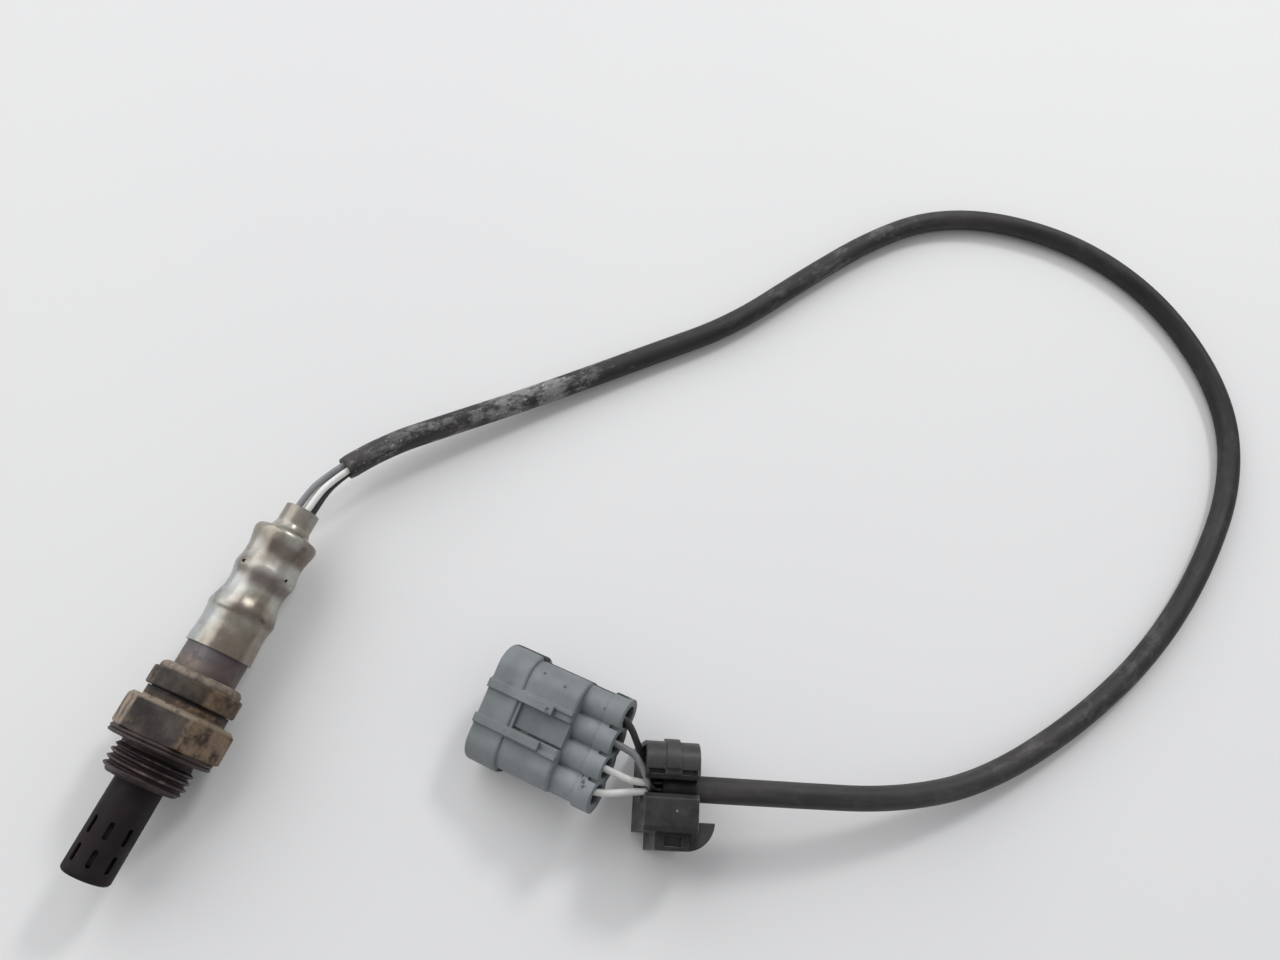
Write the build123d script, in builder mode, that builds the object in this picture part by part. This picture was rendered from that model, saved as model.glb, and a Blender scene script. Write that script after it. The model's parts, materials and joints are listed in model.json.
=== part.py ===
"""Heated four-wire oxygen sensor with its lead, cable clip and in-line connector.

Millimetres, +Z up. The sensor lies on one flat of its hexagon on the plane Z = 0, with its axis
along X and its tip towards +X. The origin is below the middle of the sensor, on that plane. The
lead leaves the sensor towards -X, loops over the plane and ends in the connector.

Sensor sections are drawn as (station, radius): a station is measured along the axis from the
seat plane, the underside of the washer, and grows towards the tip.
"""

import os
from math import cos, pi, radians, sin, sqrt, tan

from build123d import *

os.makedirs("parts", exist_ok=True)

# ---- Shell: thread, hexagon and lower ring, one turned piece ----
thread_diameter = 18.0
thread_length = 7.3
thread_end_chamfer = 1.3
relief_diameter = 16.0
relief_length = 1.0
hex_across_flats = 22.0
hex_length = 7.5
hex_chamfer_angle = 30.0
shell_ring_diameter = 18.7
shell_ring_length = 2.3
skirt_diameter = 17.2
skirt_length = 3.15
shell_bore = 13.2
lip_bore = 11.4
lip_length = 1.25
shield_seat_station = 3.0

# ---- Sealing washer ----
washer_diameter = 23.0
washer_bore = 17.2
washer_thickness = 1.7
washer_play = 0.05

# ---- Locking collar and lower tube ----
collar_diameter = 20.4
collar_gap = 0.15
collar_rim_length = 4.15
collar_shoulder_diameter = 18.8
collar_shoulder_length = 1.8
collar_edge = 0.3
tube_diameter = 14.2
tube_visible_length = 5.7
tube_wall = 0.5
tube_flange_diameter = 17.0
tube_neck_diameter = 13.4
tube_neck_length = 10.3

# ---- Crimped sleeve with its stepped neck and vents ----
sleeve_length = 37.0
sleeve_wall = 0.5
neck_diameter = 8.2
neck_length = 4.5
neck_flare_diameter = 9.8
neck_flare_length = 1.6
shoulder_rise = 0.9
shoulder_radius = 0.9
sleeve_top_diameter = 15.2
sleeve_middle_diameter = 15.5
sleeve_lower_diameter = 15.6
sleeve_lower_end = 8.9
sleeve_step = 0.2
sleeve_skirt_diameter = 14.6
sleeve_skirt_height = 6.2
sleeve_flare_diameter = 15.3
sleeve_flare_length = 0.8
crimp_jaws = 8
crimp_turn = 17.4
crimp_jaw_radius = 9.5
upper_crimp_height = 23.7
upper_crimp_flats = 13.5
lower_crimp_height = 15.6
lower_crimp_flats = 13.1
vent_diameter = 0.9
vent_count = 4
vent_turn = -33.0
vent_height = 20.0

# ---- Tip shields ----
tip_length = 27.5
shield_diameter = 10.7
shield_wall = 0.5
shield_end_radius = 1.0
shield_flange_thickness = 0.5
slot_rows = (17.3, 23.1)
slot_count = 8
slot_turn = 12.0
slot_length = 3.7
slot_width = 1.1
inner_shield_diameter = 8.6
inner_shield_wall = 0.4
inner_shield_end_gap = 1.8
inner_hole_station = 9.5
inner_hole_diameter = 1.4
inner_hole_count = 8

# ---- Ceramic element and what seals it ----
gasket_thickness = 0.4
gasket_bore = 9.4
element_flange_length = 5.0
element_tip_diameter = 5.8
element_root_diameter = 6.8
element_body_diameter = 7.2
element_wall = 1.0
element_tip_gap = 3.0
element_back_length = 15.7
element_bore = 4.6
heater_diameter = 3.0
heater_tip_gap = 0.9
heater_back_length = 7.0
talc_length = 3.5
bushing_length = 5.6
stack_clearance = 0.05

# ---- Contact carrier, spring, filter and grommet ----
carrier_diameter = 11.8
carrier_length = 13.0
carrier_flange_diameter = 12.7
carrier_flange_thickness = 1.2
carrier_hole_diameter = 2.0
carrier_rod_hole_depth = 6.0
spring_diameter = 12.1
spring_bore = 8.6
spring_height = 1.1
spring_thickness = 0.5
filter_diameter = 12.0
filter_bore = 10.5
grommet_diameter = 12.3
grommet_neck_diameter = 7.1
grommet_length = 7.4
grommet_recess = 0.6
wire_circle_radius = 2.0
wire_turn = 29.0

# ---- Contacts ----
barrel_diameter = 2.2
barrel_bore = 1.7
barrel_length = 4.5
barrel_floor = 0.8
barrel_gap = 2.3
blade_width = 1.3
blade_thickness = 0.4
finger_clearance = 0.05
ground_ring_length = 2.5
ground_ring_thickness = 0.5
ground_finger_thickness = 0.38

# ---- Lead ----
wire_diameter = 1.6
wire_clearance = 0.1
sheath_diameter = 5.8
sheath_bore = 4.4
bundle_radius = 1.2
bundle_turn = 45.0
wire_end_inset = 0.5

# Corner points of the sheath's route, chosen by hand, from the sensor to the connector.
sheath_start = Vector(-58.0, 3.4, 10.0)
exit_straight = 3.0
mouth_corner = Vector(-55.2, 2.05, 10.4)
sheath_corners = [
    Vector(-67.5, 8.0, 8.6),
    Vector(-82.0, 20.5, 6.2),
    Vector(-101.0, 37.2, 3.9),
    Vector(-125.0, 58.0, 2.9),
    Vector(-144.0, 75.0, 2.9),
    Vector(-168.0, 88.5, 2.9),
    Vector(-190.0, 102.0, 2.9),
    Vector(-206.5, 116.5, 2.9),
    Vector(-217.0, 137.5, 2.9),
    Vector(-220.5, 166.0, 2.9),
    Vector(-211.5, 194.0, 2.9),
    Vector(-190.0, 216.5, 2.9),
    Vector(-164.0, 224.0, 2.9),
    Vector(-132.0, 220.0, 2.9),
    Vector(-104.0, 211.0, 2.9),
    Vector(-78.0, 196.5, 2.9),
    Vector(-54.0, 177.0, 4.6),
    Vector(-40.0, 156.0, 10.0),
    Vector(-30.0, 130.6, 15.5),
]

# ---- Cable clip ----
clip_centre = Vector(-20.4, 104.2, 15.5)
clip_heading = 110.0
clip_width = 12.0
clip_bore_clearance = 0.05
clip_mouth = 1.0
sheath_end_inset = 4.3
fan_pocket_reach = 8.8
fan_pocket_top = 3.6
fan_pocket_floor = -2.5
clip_slit = 3.0
clip_front = 6.0
jaw_reach = 9.8
jaw_front_radius = 4.5
block_reach = 9.4
block_chamfer = 1.0
clip_spine_height = 8.0
rib_width = 3.1
rib_proud = 0.6
pocket_width = 3.6
pocket_height = 1.0
pocket_depth = 1.4
stem_reach = 13.2
stem_width = 7.6
stem_top = 2.0
stem_recess = 1.2
fin_thickness = 2.4
fin_reach = 16.9
fin_top = 7.0
fin_level = -1.0

# ---- Connector ----
connector_yaw = 3.6
connector_pitch = 20.5
connector_roll = 14.5
connector_x = -22.9
connector_y = 60.3
pitch_across = 6.0
ways = 4
collar_width = 27.8
collar_height = 13.2
mating_collar_length = 8.2
collar_corner = 5.6
collar_rounding = 0.6
housing_width = 25.8
housing_height = 11.8
housing_corner = 4.8
housing_rounding = 0.8
housing_length = 13.2
exit_tube_diameter = 7.4
exit_tube_length = 5.8
exit_flange_diameter = 8.4
exit_flange_length = 4.2
housing_wall = 1.5
shroud_depth = 12.5
seal_bore = 5.2
terminal_bore = 3.4
rail_spacing = 8.2
rail_width = 2.0
rail_height = 0.75
rail_length = 17.0
rail_gap = 0.5
rail_free_length = 3.0
ridge_width = 0.9
ridge_height = 0.6
window_depth = 0.9
window_width = 6.2
window_start = 0.8
window_slot_width = 0.45
window_slot_depth = 1.2
notch_width = 0.7
notch_depth = 1.0
retainer_thickness = 2.0
retainer_clearance = 0.4
pin_width = 1.5
pin_thickness = 0.8
pin_recess = 5.0
pin_slot_clearance = 0.2
terminal_length = 7.5
terminal_diameter = 3.0
seal_length = 4.5
seal_clearance = 0.05
seal_rib = 0.3
seal_ribs = 3

# ---- Stations worked out from the sizes above ----
washer_hang = (washer_bore - relief_diameter) / 2 - washer_play
axis_height = max(hex_across_flats / 2, washer_diameter / 2 - washer_hang)
hex_bottom = -washer_thickness
hex_top = hex_bottom - hex_length
ring_top = hex_top - shell_ring_length
collar_bottom = ring_top - collar_gap
shell_top = ring_top - skirt_length
collar_rim_top = collar_bottom - collar_rim_length
collar_top = collar_rim_top - collar_shoulder_length
sleeve_bottom = collar_top - tube_visible_length
neck_end = sleeve_bottom - sleeve_length
neck_foot = neck_end + neck_length
shoulder_station = neck_foot + neck_flare_length
tube_step = sleeve_bottom - sleeve_flare_length + 0.2
tube_end = tube_step - 0.8 - tube_neck_length
carrier_back = tube_end - carrier_flange_thickness
carrier_front = carrier_back + carrier_length + carrier_flange_thickness
spring_back = carrier_back - spring_height
grommet_front = neck_foot + neck_flare_length + sleeve_wall + shoulder_rise + grommet_length
grommet_step = grommet_front - grommet_length
barrel_front = spring_back - barrel_gap + 1.0
barrel_back = barrel_front - barrel_length
lip_station = shell_top + lip_length
outer_flange = shield_seat_station - shield_flange_thickness
inner_flange = outer_flange - inner_shield_wall
gasket_station = inner_flange - gasket_thickness
element_flange_back = gasket_station - element_flange_length
talc_back = element_flange_back - talc_length
bushing_back = talc_back - bushing_length
element_back = element_flange_back - element_back_length
element_tip = tip_length - shield_wall - element_tip_gap - inner_shield_end_gap
heater_tip = element_tip - element_wall - heater_tip_gap
heater_back = element_back - heater_back_length
inner_shield_tip = tip_length - shield_wall - inner_shield_end_gap
seat_x = (-neck_end - tip_length) / 2
exit_corner = Vector(seat_x + neck_end - exit_straight, 0, axis_height)

# ---- Planes and axes ----
sensor_section = Plane(origin=(seat_x, 0, axis_height), x_dir=(1, 0, 0), z_dir=(0, -1, 0))
sensor_axis = Axis((seat_x, 0, axis_height), (1, 0, 0))


def across(station):
    """Plane square to the sensor's axis: local X is +Y and local Y is up."""
    return Plane(origin=(seat_x + station, 0, axis_height), x_dir=(0, 1, 0), z_dir=(1, 0, 0))


def outward(station, turn):
    """Plane on the sensor's axis facing radially outwards, turn degrees from up towards +Y."""
    direction = (0, sin(radians(turn)), cos(radians(turn)))
    return Plane(origin=(seat_x + station, 0, axis_height), x_dir=(1, 0, 0), z_dir=direction)


def around(turn, radius, station):
    """Point at a station and radius, turn degrees from up towards +Y."""
    across_y = radius * sin(radians(turn))
    up = radius * cos(radians(turn))
    return Vector(seat_x + station, across_y, axis_height + up)


def save(piece, name):
    """Label a finished piece and write it as its own STEP file."""
    piece.part.label = name
    export_step(piece.part, f"parts/{name}.step")


# ================= Shell, washer, collar and tube =================


def make_threaded_shell():
    thread_radius = thread_diameter / 2
    relief_radius = relief_diameter / 2
    corner_radius = hex_across_flats / 2 / cos(pi / 6)
    chamfer_rise = (corner_radius - hex_across_flats / 2) * tan(radians(hex_chamfer_angle))
    with BuildPart() as threaded_shell:
        with BuildSketch(across(hex_top)):
            RegularPolygon(hex_across_flats / 2, 6, major_radius=False)
        extrude(amount=hex_length)
        with BuildSketch(sensor_section):
            with BuildLine():
                Polyline(
                    (hex_top, 0),
                    (hex_top, hex_across_flats / 2),
                    (hex_top + chamfer_rise, corner_radius),
                    (hex_bottom - chamfer_rise / 2, corner_radius),
                    (hex_bottom, hex_across_flats / 2 + chamfer_rise / 2),
                    (hex_bottom, 0),
                    close=True,
                )
            make_face()
        revolve(axis=sensor_axis, mode=Mode.INTERSECT)
        with BuildSketch(sensor_section):
            with BuildLine():
                Polyline(
                    (shell_top, 0),
                    (shell_top, skirt_diameter / 2),
                    (ring_top, skirt_diameter / 2),
                    (ring_top, shell_ring_diameter / 2),
                    (hex_top, shell_ring_diameter / 2),
                    (hex_bottom, shell_ring_diameter / 2),
                    (hex_bottom, relief_radius),
                    (relief_length, relief_radius),
                    (relief_length + thread_radius - relief_radius, thread_radius),
                    (thread_length - thread_end_chamfer, thread_radius),
                    (thread_length, thread_radius - thread_end_chamfer),
                    (thread_length, 0),
                    close=True,
                )
            make_face()
        revolve(axis=sensor_axis)
        with BuildSketch(sensor_section):
            with BuildLine():
                Polyline(
                    (shell_top - 1, 0),
                    (shell_top - 1, lip_bore / 2),
                    (lip_station, lip_bore / 2),
                    (lip_station, shell_bore / 2),
                    (shield_seat_station, shell_bore / 2),
                    (shield_seat_station, shield_diameter / 2 + 2 * stack_clearance),
                    (thread_length + 1, shield_diameter / 2 + 2 * stack_clearance),
                    (thread_length + 1, 0),
                    close=True,
                )
            make_face()
        revolve(axis=sensor_axis, mode=Mode.SUBTRACT)
    return threaded_shell


def make_sealing_washer():
    """Folded crush washer: two rounded folds with a seam between them.

    It is loose on the relief and stands on its rim, so it hangs a little high of the axis.
    """
    drop = washer_diameter / 2 - axis_height
    middle = -washer_thickness / 2
    fold = washer_thickness / 4
    rim = washer_diameter / 2
    seam_rise = fold * sin(radians(25))
    seam_half = fold - fold * cos(radians(25))
    seam_floor = rim - 1.6 * fold
    hung = Plane(origin=(seat_x, 0, axis_height + drop), x_dir=(1, 0, 0), z_dir=(0, -1, 0))
    with BuildPart() as sealing_washer:
        with BuildSketch(hung):
            with BuildLine():
                Polyline(
                    (middle + seam_half, rim - fold + seam_rise),
                    (middle, seam_floor),
                    (middle - seam_half, rim - fold + seam_rise),
                )
                ThreePointArc(
                    (middle - seam_half, rim - fold + seam_rise),
                    (middle - fold, rim),
                    (-washer_thickness, rim - fold),
                )
                Polyline(
                    (-washer_thickness, rim - fold),
                    (-washer_thickness, washer_bore / 2),
                    (0, washer_bore / 2),
                    (0, rim - fold),
                )
                ThreePointArc(
                    (0, rim - fold),
                    (middle + fold, rim),
                    (middle + seam_half, rim - fold + seam_rise),
                )
            make_face()
        revolve(axis=Axis(hung.origin, (1, 0, 0)))
    return sealing_washer


def make_locking_collar():
    rim = collar_diameter / 2
    shoulder = collar_shoulder_diameter / 2
    ledge = shell_top - tube_wall
    lead_in = tube_diameter / 2 + 2 * stack_clearance
    with BuildPart() as locking_collar:
        with BuildSketch(sensor_section):
            with BuildLine():
                Polyline(
                    (collar_bottom, skirt_diameter / 2 + stack_clearance),
                    (collar_bottom, rim - collar_edge),
                    (collar_bottom - collar_edge, rim),
                    (collar_rim_top + collar_edge, rim),
                    (collar_rim_top, rim - collar_edge),
                    (collar_rim_top, shoulder),
                    (collar_rim_top - 0.5, shoulder),
                )
                RadiusArc(
                    (collar_rim_top - 0.5, shoulder),
                    (collar_top, shoulder - 1.4),
                    -1.4,
                )
                Polyline(
                    (collar_top, shoulder - 1.4),
                    (collar_top, lead_in),
                    (ledge, lead_in),
                    (ledge, skirt_diameter / 2 + stack_clearance),
                    (collar_bottom, skirt_diameter / 2 + stack_clearance),
                )
            make_face()
        revolve(axis=sensor_axis)
    return locking_collar


def make_lower_tube():
    outer = tube_diameter / 2
    neck = tube_neck_diameter / 2
    with BuildPart() as lower_tube:
        with BuildSketch(sensor_section):
            with BuildLine():
                Polyline(
                    (shell_top, outer - tube_wall),
                    (shell_top, tube_flange_diameter / 2),
                    (shell_top - tube_wall, tube_flange_diameter / 2),
                    (shell_top - tube_wall, outer),
                    (tube_step, outer),
                    (tube_step - 0.8, neck),
                    (tube_end, neck),
                    (tube_end, neck - tube_wall),
                    (tube_step - 0.8, neck - tube_wall),
                    (tube_step, outer - tube_wall),
                    close=True,
                )
            make_face()
        revolve(axis=sensor_axis)
    return lower_tube


# ================= Crimped sleeve =================


def sleeve_profile(inset, overrun):
    """Half section of the sleeve down to the axis, moved inwards by inset."""
    top = sleeve_top_diameter / 2 - inset
    middle = sleeve_middle_diameter / 2 - inset
    lower = sleeve_lower_diameter / 2 - inset
    skirt = sleeve_skirt_diameter / 2 - inset
    flare = sleeve_flare_diameter / 2 - inset
    step_station = sleeve_bottom - sleeve_lower_end
    with BuildSketch(sensor_section) as profile:
        with BuildLine():
            Polyline(
                (neck_end - overrun, 0),
                (neck_end - overrun, neck_diameter / 2 - inset),
                (neck_foot + inset / 2, neck_diameter / 2 - inset),
                (shoulder_station + inset, neck_flare_diameter / 2 - inset),
                (shoulder_station + inset + shoulder_rise, top),
                (sleeve_bottom - upper_crimp_height, top),
                (sleeve_bottom - vent_height, middle),
                (sleeve_bottom - lower_crimp_height, lower),
                (step_station - sleeve_step, lower),
                (step_station, lower - sleeve_step),
                (sleeve_bottom - sleeve_skirt_height, skirt),
                (sleeve_bottom - sleeve_flare_length, flare),
                (sleeve_bottom + overrun, flare),
                (sleeve_bottom + overrun, 0),
                close=True,
            )
        make_face()
        shoulder = profile.vertices().sort_by_distance(
            Vector(seat_x + shoulder_station + inset + shoulder_rise, 0, axis_height + top)
        )[0]
        fillet(shoulder, shoulder_radius)
    return profile.sketch


def press_crimp(height, flats, inset):
    """Crimp jaws: cylinders across the sleeve, one for each flat of the crimp."""
    jaw = crimp_jaw_radius + inset
    centre = flats / 2 + crimp_jaw_radius
    for index in range(crimp_jaws):
        turn = crimp_turn + index * 360 / crimp_jaws
        tangent = (0, -cos(radians(turn)), sin(radians(turn)))
        jaw_plane = Plane(
            origin=around(turn, centre, sleeve_bottom - height), x_dir=(1, 0, 0), z_dir=tangent
        )
        with BuildSketch(jaw_plane) as jaw_outline:
            Circle(jaw)
        extrude(jaw_outline.sketch, amount=flats, both=True, mode=Mode.SUBTRACT)


def crimped_body(inset, overrun):
    """The sleeve's outer form, or its hollow when inset is the wall."""
    with BuildPart() as body:
        revolve(sleeve_profile(inset, overrun), axis=sensor_axis)
        press_crimp(upper_crimp_height, upper_crimp_flats, inset)
        press_crimp(lower_crimp_height, lower_crimp_flats, inset)
    return body.part


def make_crimped_sleeve():
    skin = crimped_body(0, 0)
    hollow = crimped_body(sleeve_wall, 1)
    with BuildPart() as crimped_sleeve:
        add(skin)
        add(hollow, mode=Mode.SUBTRACT)
        for index in range(vent_count):
            turn = vent_turn + index * 360 / vent_count
            with BuildSketch(outward(sleeve_bottom - vent_height, turn)):
                Circle(vent_diameter / 2)
            extrude(amount=sleeve_middle_diameter, mode=Mode.SUBTRACT)
    return crimped_sleeve


# ================= Tip shields =================


def shield_cup(diameter, wall, tip, flange_station, end_radius):
    """Deep-drawn cup with an outward flange at its open end, as a section face."""
    outer = diameter / 2
    flange = shell_bore / 2 - stack_clearance
    with BuildSketch(sensor_section) as section:
        with BuildLine():
            Polyline(
                (flange_station, outer - wall),
                (flange_station, flange),
                (flange_station + wall, flange),
                (flange_station + wall, outer),
                (tip - end_radius, outer),
            )
            RadiusArc((tip - end_radius, outer), (tip, outer - end_radius), end_radius)
            Polyline(
                (tip, outer - end_radius),
                (tip, 0),
                (tip - wall, 0),
                (tip - wall, outer - wall),
                (flange_station, outer - wall),
            )
        make_face()
    return section.sketch


def make_outer_shield():
    with BuildPart() as outer_shield:
        revolve(
            shield_cup(shield_diameter, shield_wall, tip_length, outer_flange, shield_end_radius),
            axis=sensor_axis,
        )
        for row, station in enumerate(slot_rows):
            for index in range(slot_count):
                turn = slot_turn + index * 360 / slot_count
                with BuildSketch(outward(station, turn)):
                    SlotOverall(slot_length, slot_width)
                extrude(amount=shield_diameter, mode=Mode.SUBTRACT)
    return outer_shield


def make_inner_shield():
    with BuildPart() as inner_shield:
        revolve(
            shield_cup(
                inner_shield_diameter,
                inner_shield_wall,
                inner_shield_tip,
                inner_flange,
                shield_end_radius,
            ),
            axis=sensor_axis,
        )
        for index in range(inner_hole_count):
            with BuildSketch(outward(inner_hole_station, index * 360 / inner_hole_count)):
                Circle(inner_hole_diameter / 2)
            extrude(amount=inner_shield_diameter, mode=Mode.SUBTRACT)
    return inner_shield


# ================= Ceramic element and its seal stack =================


def ring(station, back, outer, inner):
    """Plain ring between two stations, as a section face."""
    with BuildSketch(sensor_section) as section:
        with BuildLine():
            Polyline((back, inner), (back, outer), (station, outer), (station, inner), close=True)
        make_face()
    return section.sketch


def make_ring(station, back, outer, inner):
    with BuildPart() as turned_ring:
        revolve(ring(station, back, outer, inner), axis=sensor_axis)
    return turned_ring


def make_zirconia_thimble():
    flange = shell_bore / 2 - stack_clearance
    body = element_body_diameter / 2
    root = element_root_diameter / 2
    tip = element_tip_diameter / 2
    bore = element_bore / 2
    tip_bore = tip - element_wall
    with BuildPart() as zirconia_thimble:
        with BuildSketch(sensor_section):
            with BuildLine():
                Polyline(
                    (element_tip - tip, tip),
                    (gasket_station, root),
                    (gasket_station, flange),
                    (element_flange_back, flange),
                    (element_flange_back, body),
                    (element_back, body),
                    (element_back, bore),
                    (element_flange_back, bore),
                    (gasket_station, tip_bore),
                    (element_tip - tip, tip_bore),
                )
                RadiusArc((element_tip - tip, tip_bore), (element_tip - element_wall, 0), tip_bore)
                Line((element_tip - element_wall, 0), (element_tip, 0))
                RadiusArc((element_tip, 0), (element_tip - tip, tip), -tip)
            make_face()
        revolve(axis=sensor_axis)
    return zirconia_thimble


def make_heater_rod():
    with BuildPart() as heater_rod:
        with BuildSketch(across(heater_back)):
            Circle(heater_diameter / 2)
        extrude(amount=heater_tip - heater_back)
        chamfer(heater_rod.edges().filter_by(GeomType.CIRCLE), 0.3)
    return heater_rod


# ================= Back end: carrier, spring, filter, grommet, contacts =================


def wire_turns():
    """Turn of each wire about the axis at the grommet: white, black, white, grey."""
    return [wire_turn + index * 90 for index in range(4)]


def make_contact_carrier():
    with BuildPart() as contact_carrier:
        with BuildSketch(across(carrier_back)):
            Circle(carrier_flange_diameter / 2)
        extrude(amount=carrier_flange_thickness)
        with BuildSketch(across(carrier_back + carrier_flange_thickness)):
            Circle(carrier_diameter / 2)
        extrude(amount=carrier_length)
        for turn in wire_turns():
            hole_plane = across(carrier_back)
            hole_plane.origin = around(turn, wire_circle_radius, carrier_back)
            with BuildSketch(hole_plane):
                Circle(carrier_hole_diameter / 2)
            extrude(amount=carrier_length + carrier_flange_thickness, mode=Mode.SUBTRACT)
        with BuildSketch(across(carrier_front - carrier_rod_hole_depth)):
            Circle(heater_diameter / 2 + 2 * stack_clearance)
        extrude(amount=carrier_rod_hole_depth, mode=Mode.SUBTRACT)
    return contact_carrier


def make_disc_spring():
    outer = spring_diameter / 2
    inner = spring_bore / 2
    with BuildPart() as disc_spring:
        with BuildSketch(sensor_section):
            with BuildLine():
                Polyline(
                    (carrier_back, inner),
                    (carrier_back - spring_thickness, inner),
                    (spring_back, outer),
                    (spring_back + spring_thickness, outer),
                    close=True,
                )
            make_face()
        revolve(axis=sensor_axis)
    return disc_spring


def make_wire_grommet():
    with BuildPart() as wire_grommet:
        with BuildSketch(across(grommet_step)):
            Circle(grommet_diameter / 2)
        extrude(amount=grommet_length)
        with BuildSketch(across(neck_end + grommet_recess)):
            Circle(grommet_neck_diameter / 2)
        extrude(amount=grommet_step - neck_end - grommet_recess)
        for turn in wire_turns():
            bore_plane = across(neck_end)
            bore_plane.origin = around(turn, wire_circle_radius, neck_end)
            with BuildSketch(bore_plane):
                Circle(wire_diameter / 2 + wire_clearance / 2)
            extrude(amount=grommet_front - neck_end, mode=Mode.SUBTRACT)
    return wire_grommet


def contact_plane(station, turn, radius):
    """Plane square to the axis at a wire: local X is tangential and local Y points outwards."""
    tangent = (0, cos(radians(turn)), -sin(radians(turn)))
    return Plane(origin=around(turn, radius, station), x_dir=tangent, z_dir=(1, 0, 0))


def make_contact(turn, blade_end, blade_radius):
    """Crimp barrel round the wire's end with a flat blade that runs to the element."""
    with BuildPart() as contact:
        with BuildSketch(contact_plane(barrel_back, turn, wire_circle_radius)):
            Circle(barrel_diameter / 2)
        extrude(amount=barrel_length)
        with BuildSketch(contact_plane(barrel_back, turn, wire_circle_radius)):
            Circle(barrel_bore / 2)
        extrude(amount=barrel_length - barrel_floor, mode=Mode.SUBTRACT)
        with BuildSketch(contact_plane(barrel_front - barrel_floor, turn, blade_radius)):
            Rectangle(blade_width, blade_thickness)
        extrude(amount=blade_end - barrel_front + barrel_floor)
    return contact


def make_ground_contact(turn):
    """Ground contact: its blade steps outwards in front of the carrier to a ring on the element."""
    ring_inner = element_body_diameter / 2 + finger_clearance
    ring_outer = ring_inner + ground_ring_thickness
    blade_radius = (heater_diameter + blade_thickness) / 2 + 2 * finger_clearance
    finger_radius = ring_inner + ground_finger_thickness / 2 + 0.03
    step_outer = finger_radius + ground_finger_thickness / 2
    step_inner = blade_radius - blade_thickness / 2
    step_station = carrier_front + 0.3
    ring_station = element_back + 0.5
    straight_contact = make_contact(turn, step_station + blade_thickness, blade_radius)
    with BuildPart() as contact:
        add(straight_contact.part)
        with BuildSketch(contact_plane(step_station, turn, 0)):
            with Locations((0, (step_inner + step_outer) / 2)):
                Rectangle(blade_width, step_outer - step_inner)
        extrude(amount=blade_thickness)
        with BuildSketch(contact_plane(step_station, turn, 0)):
            with Locations((0, finger_radius)):
                Rectangle(blade_width, ground_finger_thickness)
        extrude(amount=ring_station + ground_ring_length - step_station)
        with BuildSketch(across(ring_station)):
            Circle(ring_outer)
            Circle(ring_inner, mode=Mode.SUBTRACT)
        extrude(amount=ground_ring_length)
    return contact


# ================= Lead: sheath and four wires =================


def arc_radii(points):
    """Largest arc for each corner: 0.45 of the shorter run, over the tangent of half the turn."""
    radii = []
    for index in range(1, len(points) - 1):
        before = points[index] - points[index - 1]
        after = points[index + 1] - points[index]
        run = min(before.length, after.length)
        turn = before.get_angle(after)
        radii.append(0.45 * run / tan(radians(turn) / 2))
    return radii


def beside(points, turn, distance):
    """Corners of a line that runs parallel to a route, turn degrees from up towards its right."""
    travel = (points[1] - points[0]).normalized()
    up = (Vector(0, 0, 1) - travel * travel.Z).normalized()
    right = travel.cross(up)
    offset = (up * cos(radians(turn)) + right * sin(radians(turn))) * distance
    corners = [points[0] + offset]
    for index in range(1, len(points) - 1):
        next_travel = (points[index + 1] - points[index]).normalized()
        pivot = travel.cross(next_travel).normalized()
        inward = pivot.cross(travel)
        next_inward = pivot.cross(next_travel)
        along_pivot = offset.dot(pivot)
        along_inward = offset.dot(inward)
        mitre = (inward + next_inward) * (along_inward / (1 + travel.dot(next_travel)))
        corners.append(points[index] + pivot * along_pivot + mitre)
        offset = pivot * along_pivot + next_inward * along_inward
        travel = next_travel
    corners.append(points[-1] + offset)
    return corners


def sweep_tube(points, radii, diameter, bore, name):
    """Tube along straight runs joined by tangent arcs. Prints its radii and a volume test."""
    with BuildPart() as tube:
        with BuildLine():
            path = FilletPolyline(*points, radius=radii)
        start = Plane(origin=path @ 0, z_dir=path % 0)
        with BuildSketch(start):
            Circle(diameter / 2)
            if bore:
                Circle(bore / 2, mode=Mode.SUBTRACT)
        sweep(path=path)
    section = pi * (diameter**2 - bore**2) / 4
    share = tube.part.volume / (section * path.length)
    print(f"{name}: length {path.length:.1f}, smallest radius {min(radii):.1f}")
    print(f"   volume over section times length {share:.4f}")
    print("   radii " + " ".join(f"{radius:.0f}" for radius in radii))
    return tube


clip_along = Vector(cos(radians(clip_heading)), sin(radians(clip_heading)), 0)
clip_across = Vector(-sin(radians(clip_heading)), cos(radians(clip_heading)), 0)
sheath_end = clip_centre - clip_along * (clip_width / 2 - sheath_end_inset)


def make_sheath():
    points = [sheath_start, *sheath_corners, sheath_end]
    return sweep_tube(points, arc_radii(points), sheath_diameter, sheath_bore, "sheath")


# ================= Connector frame =================

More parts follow.
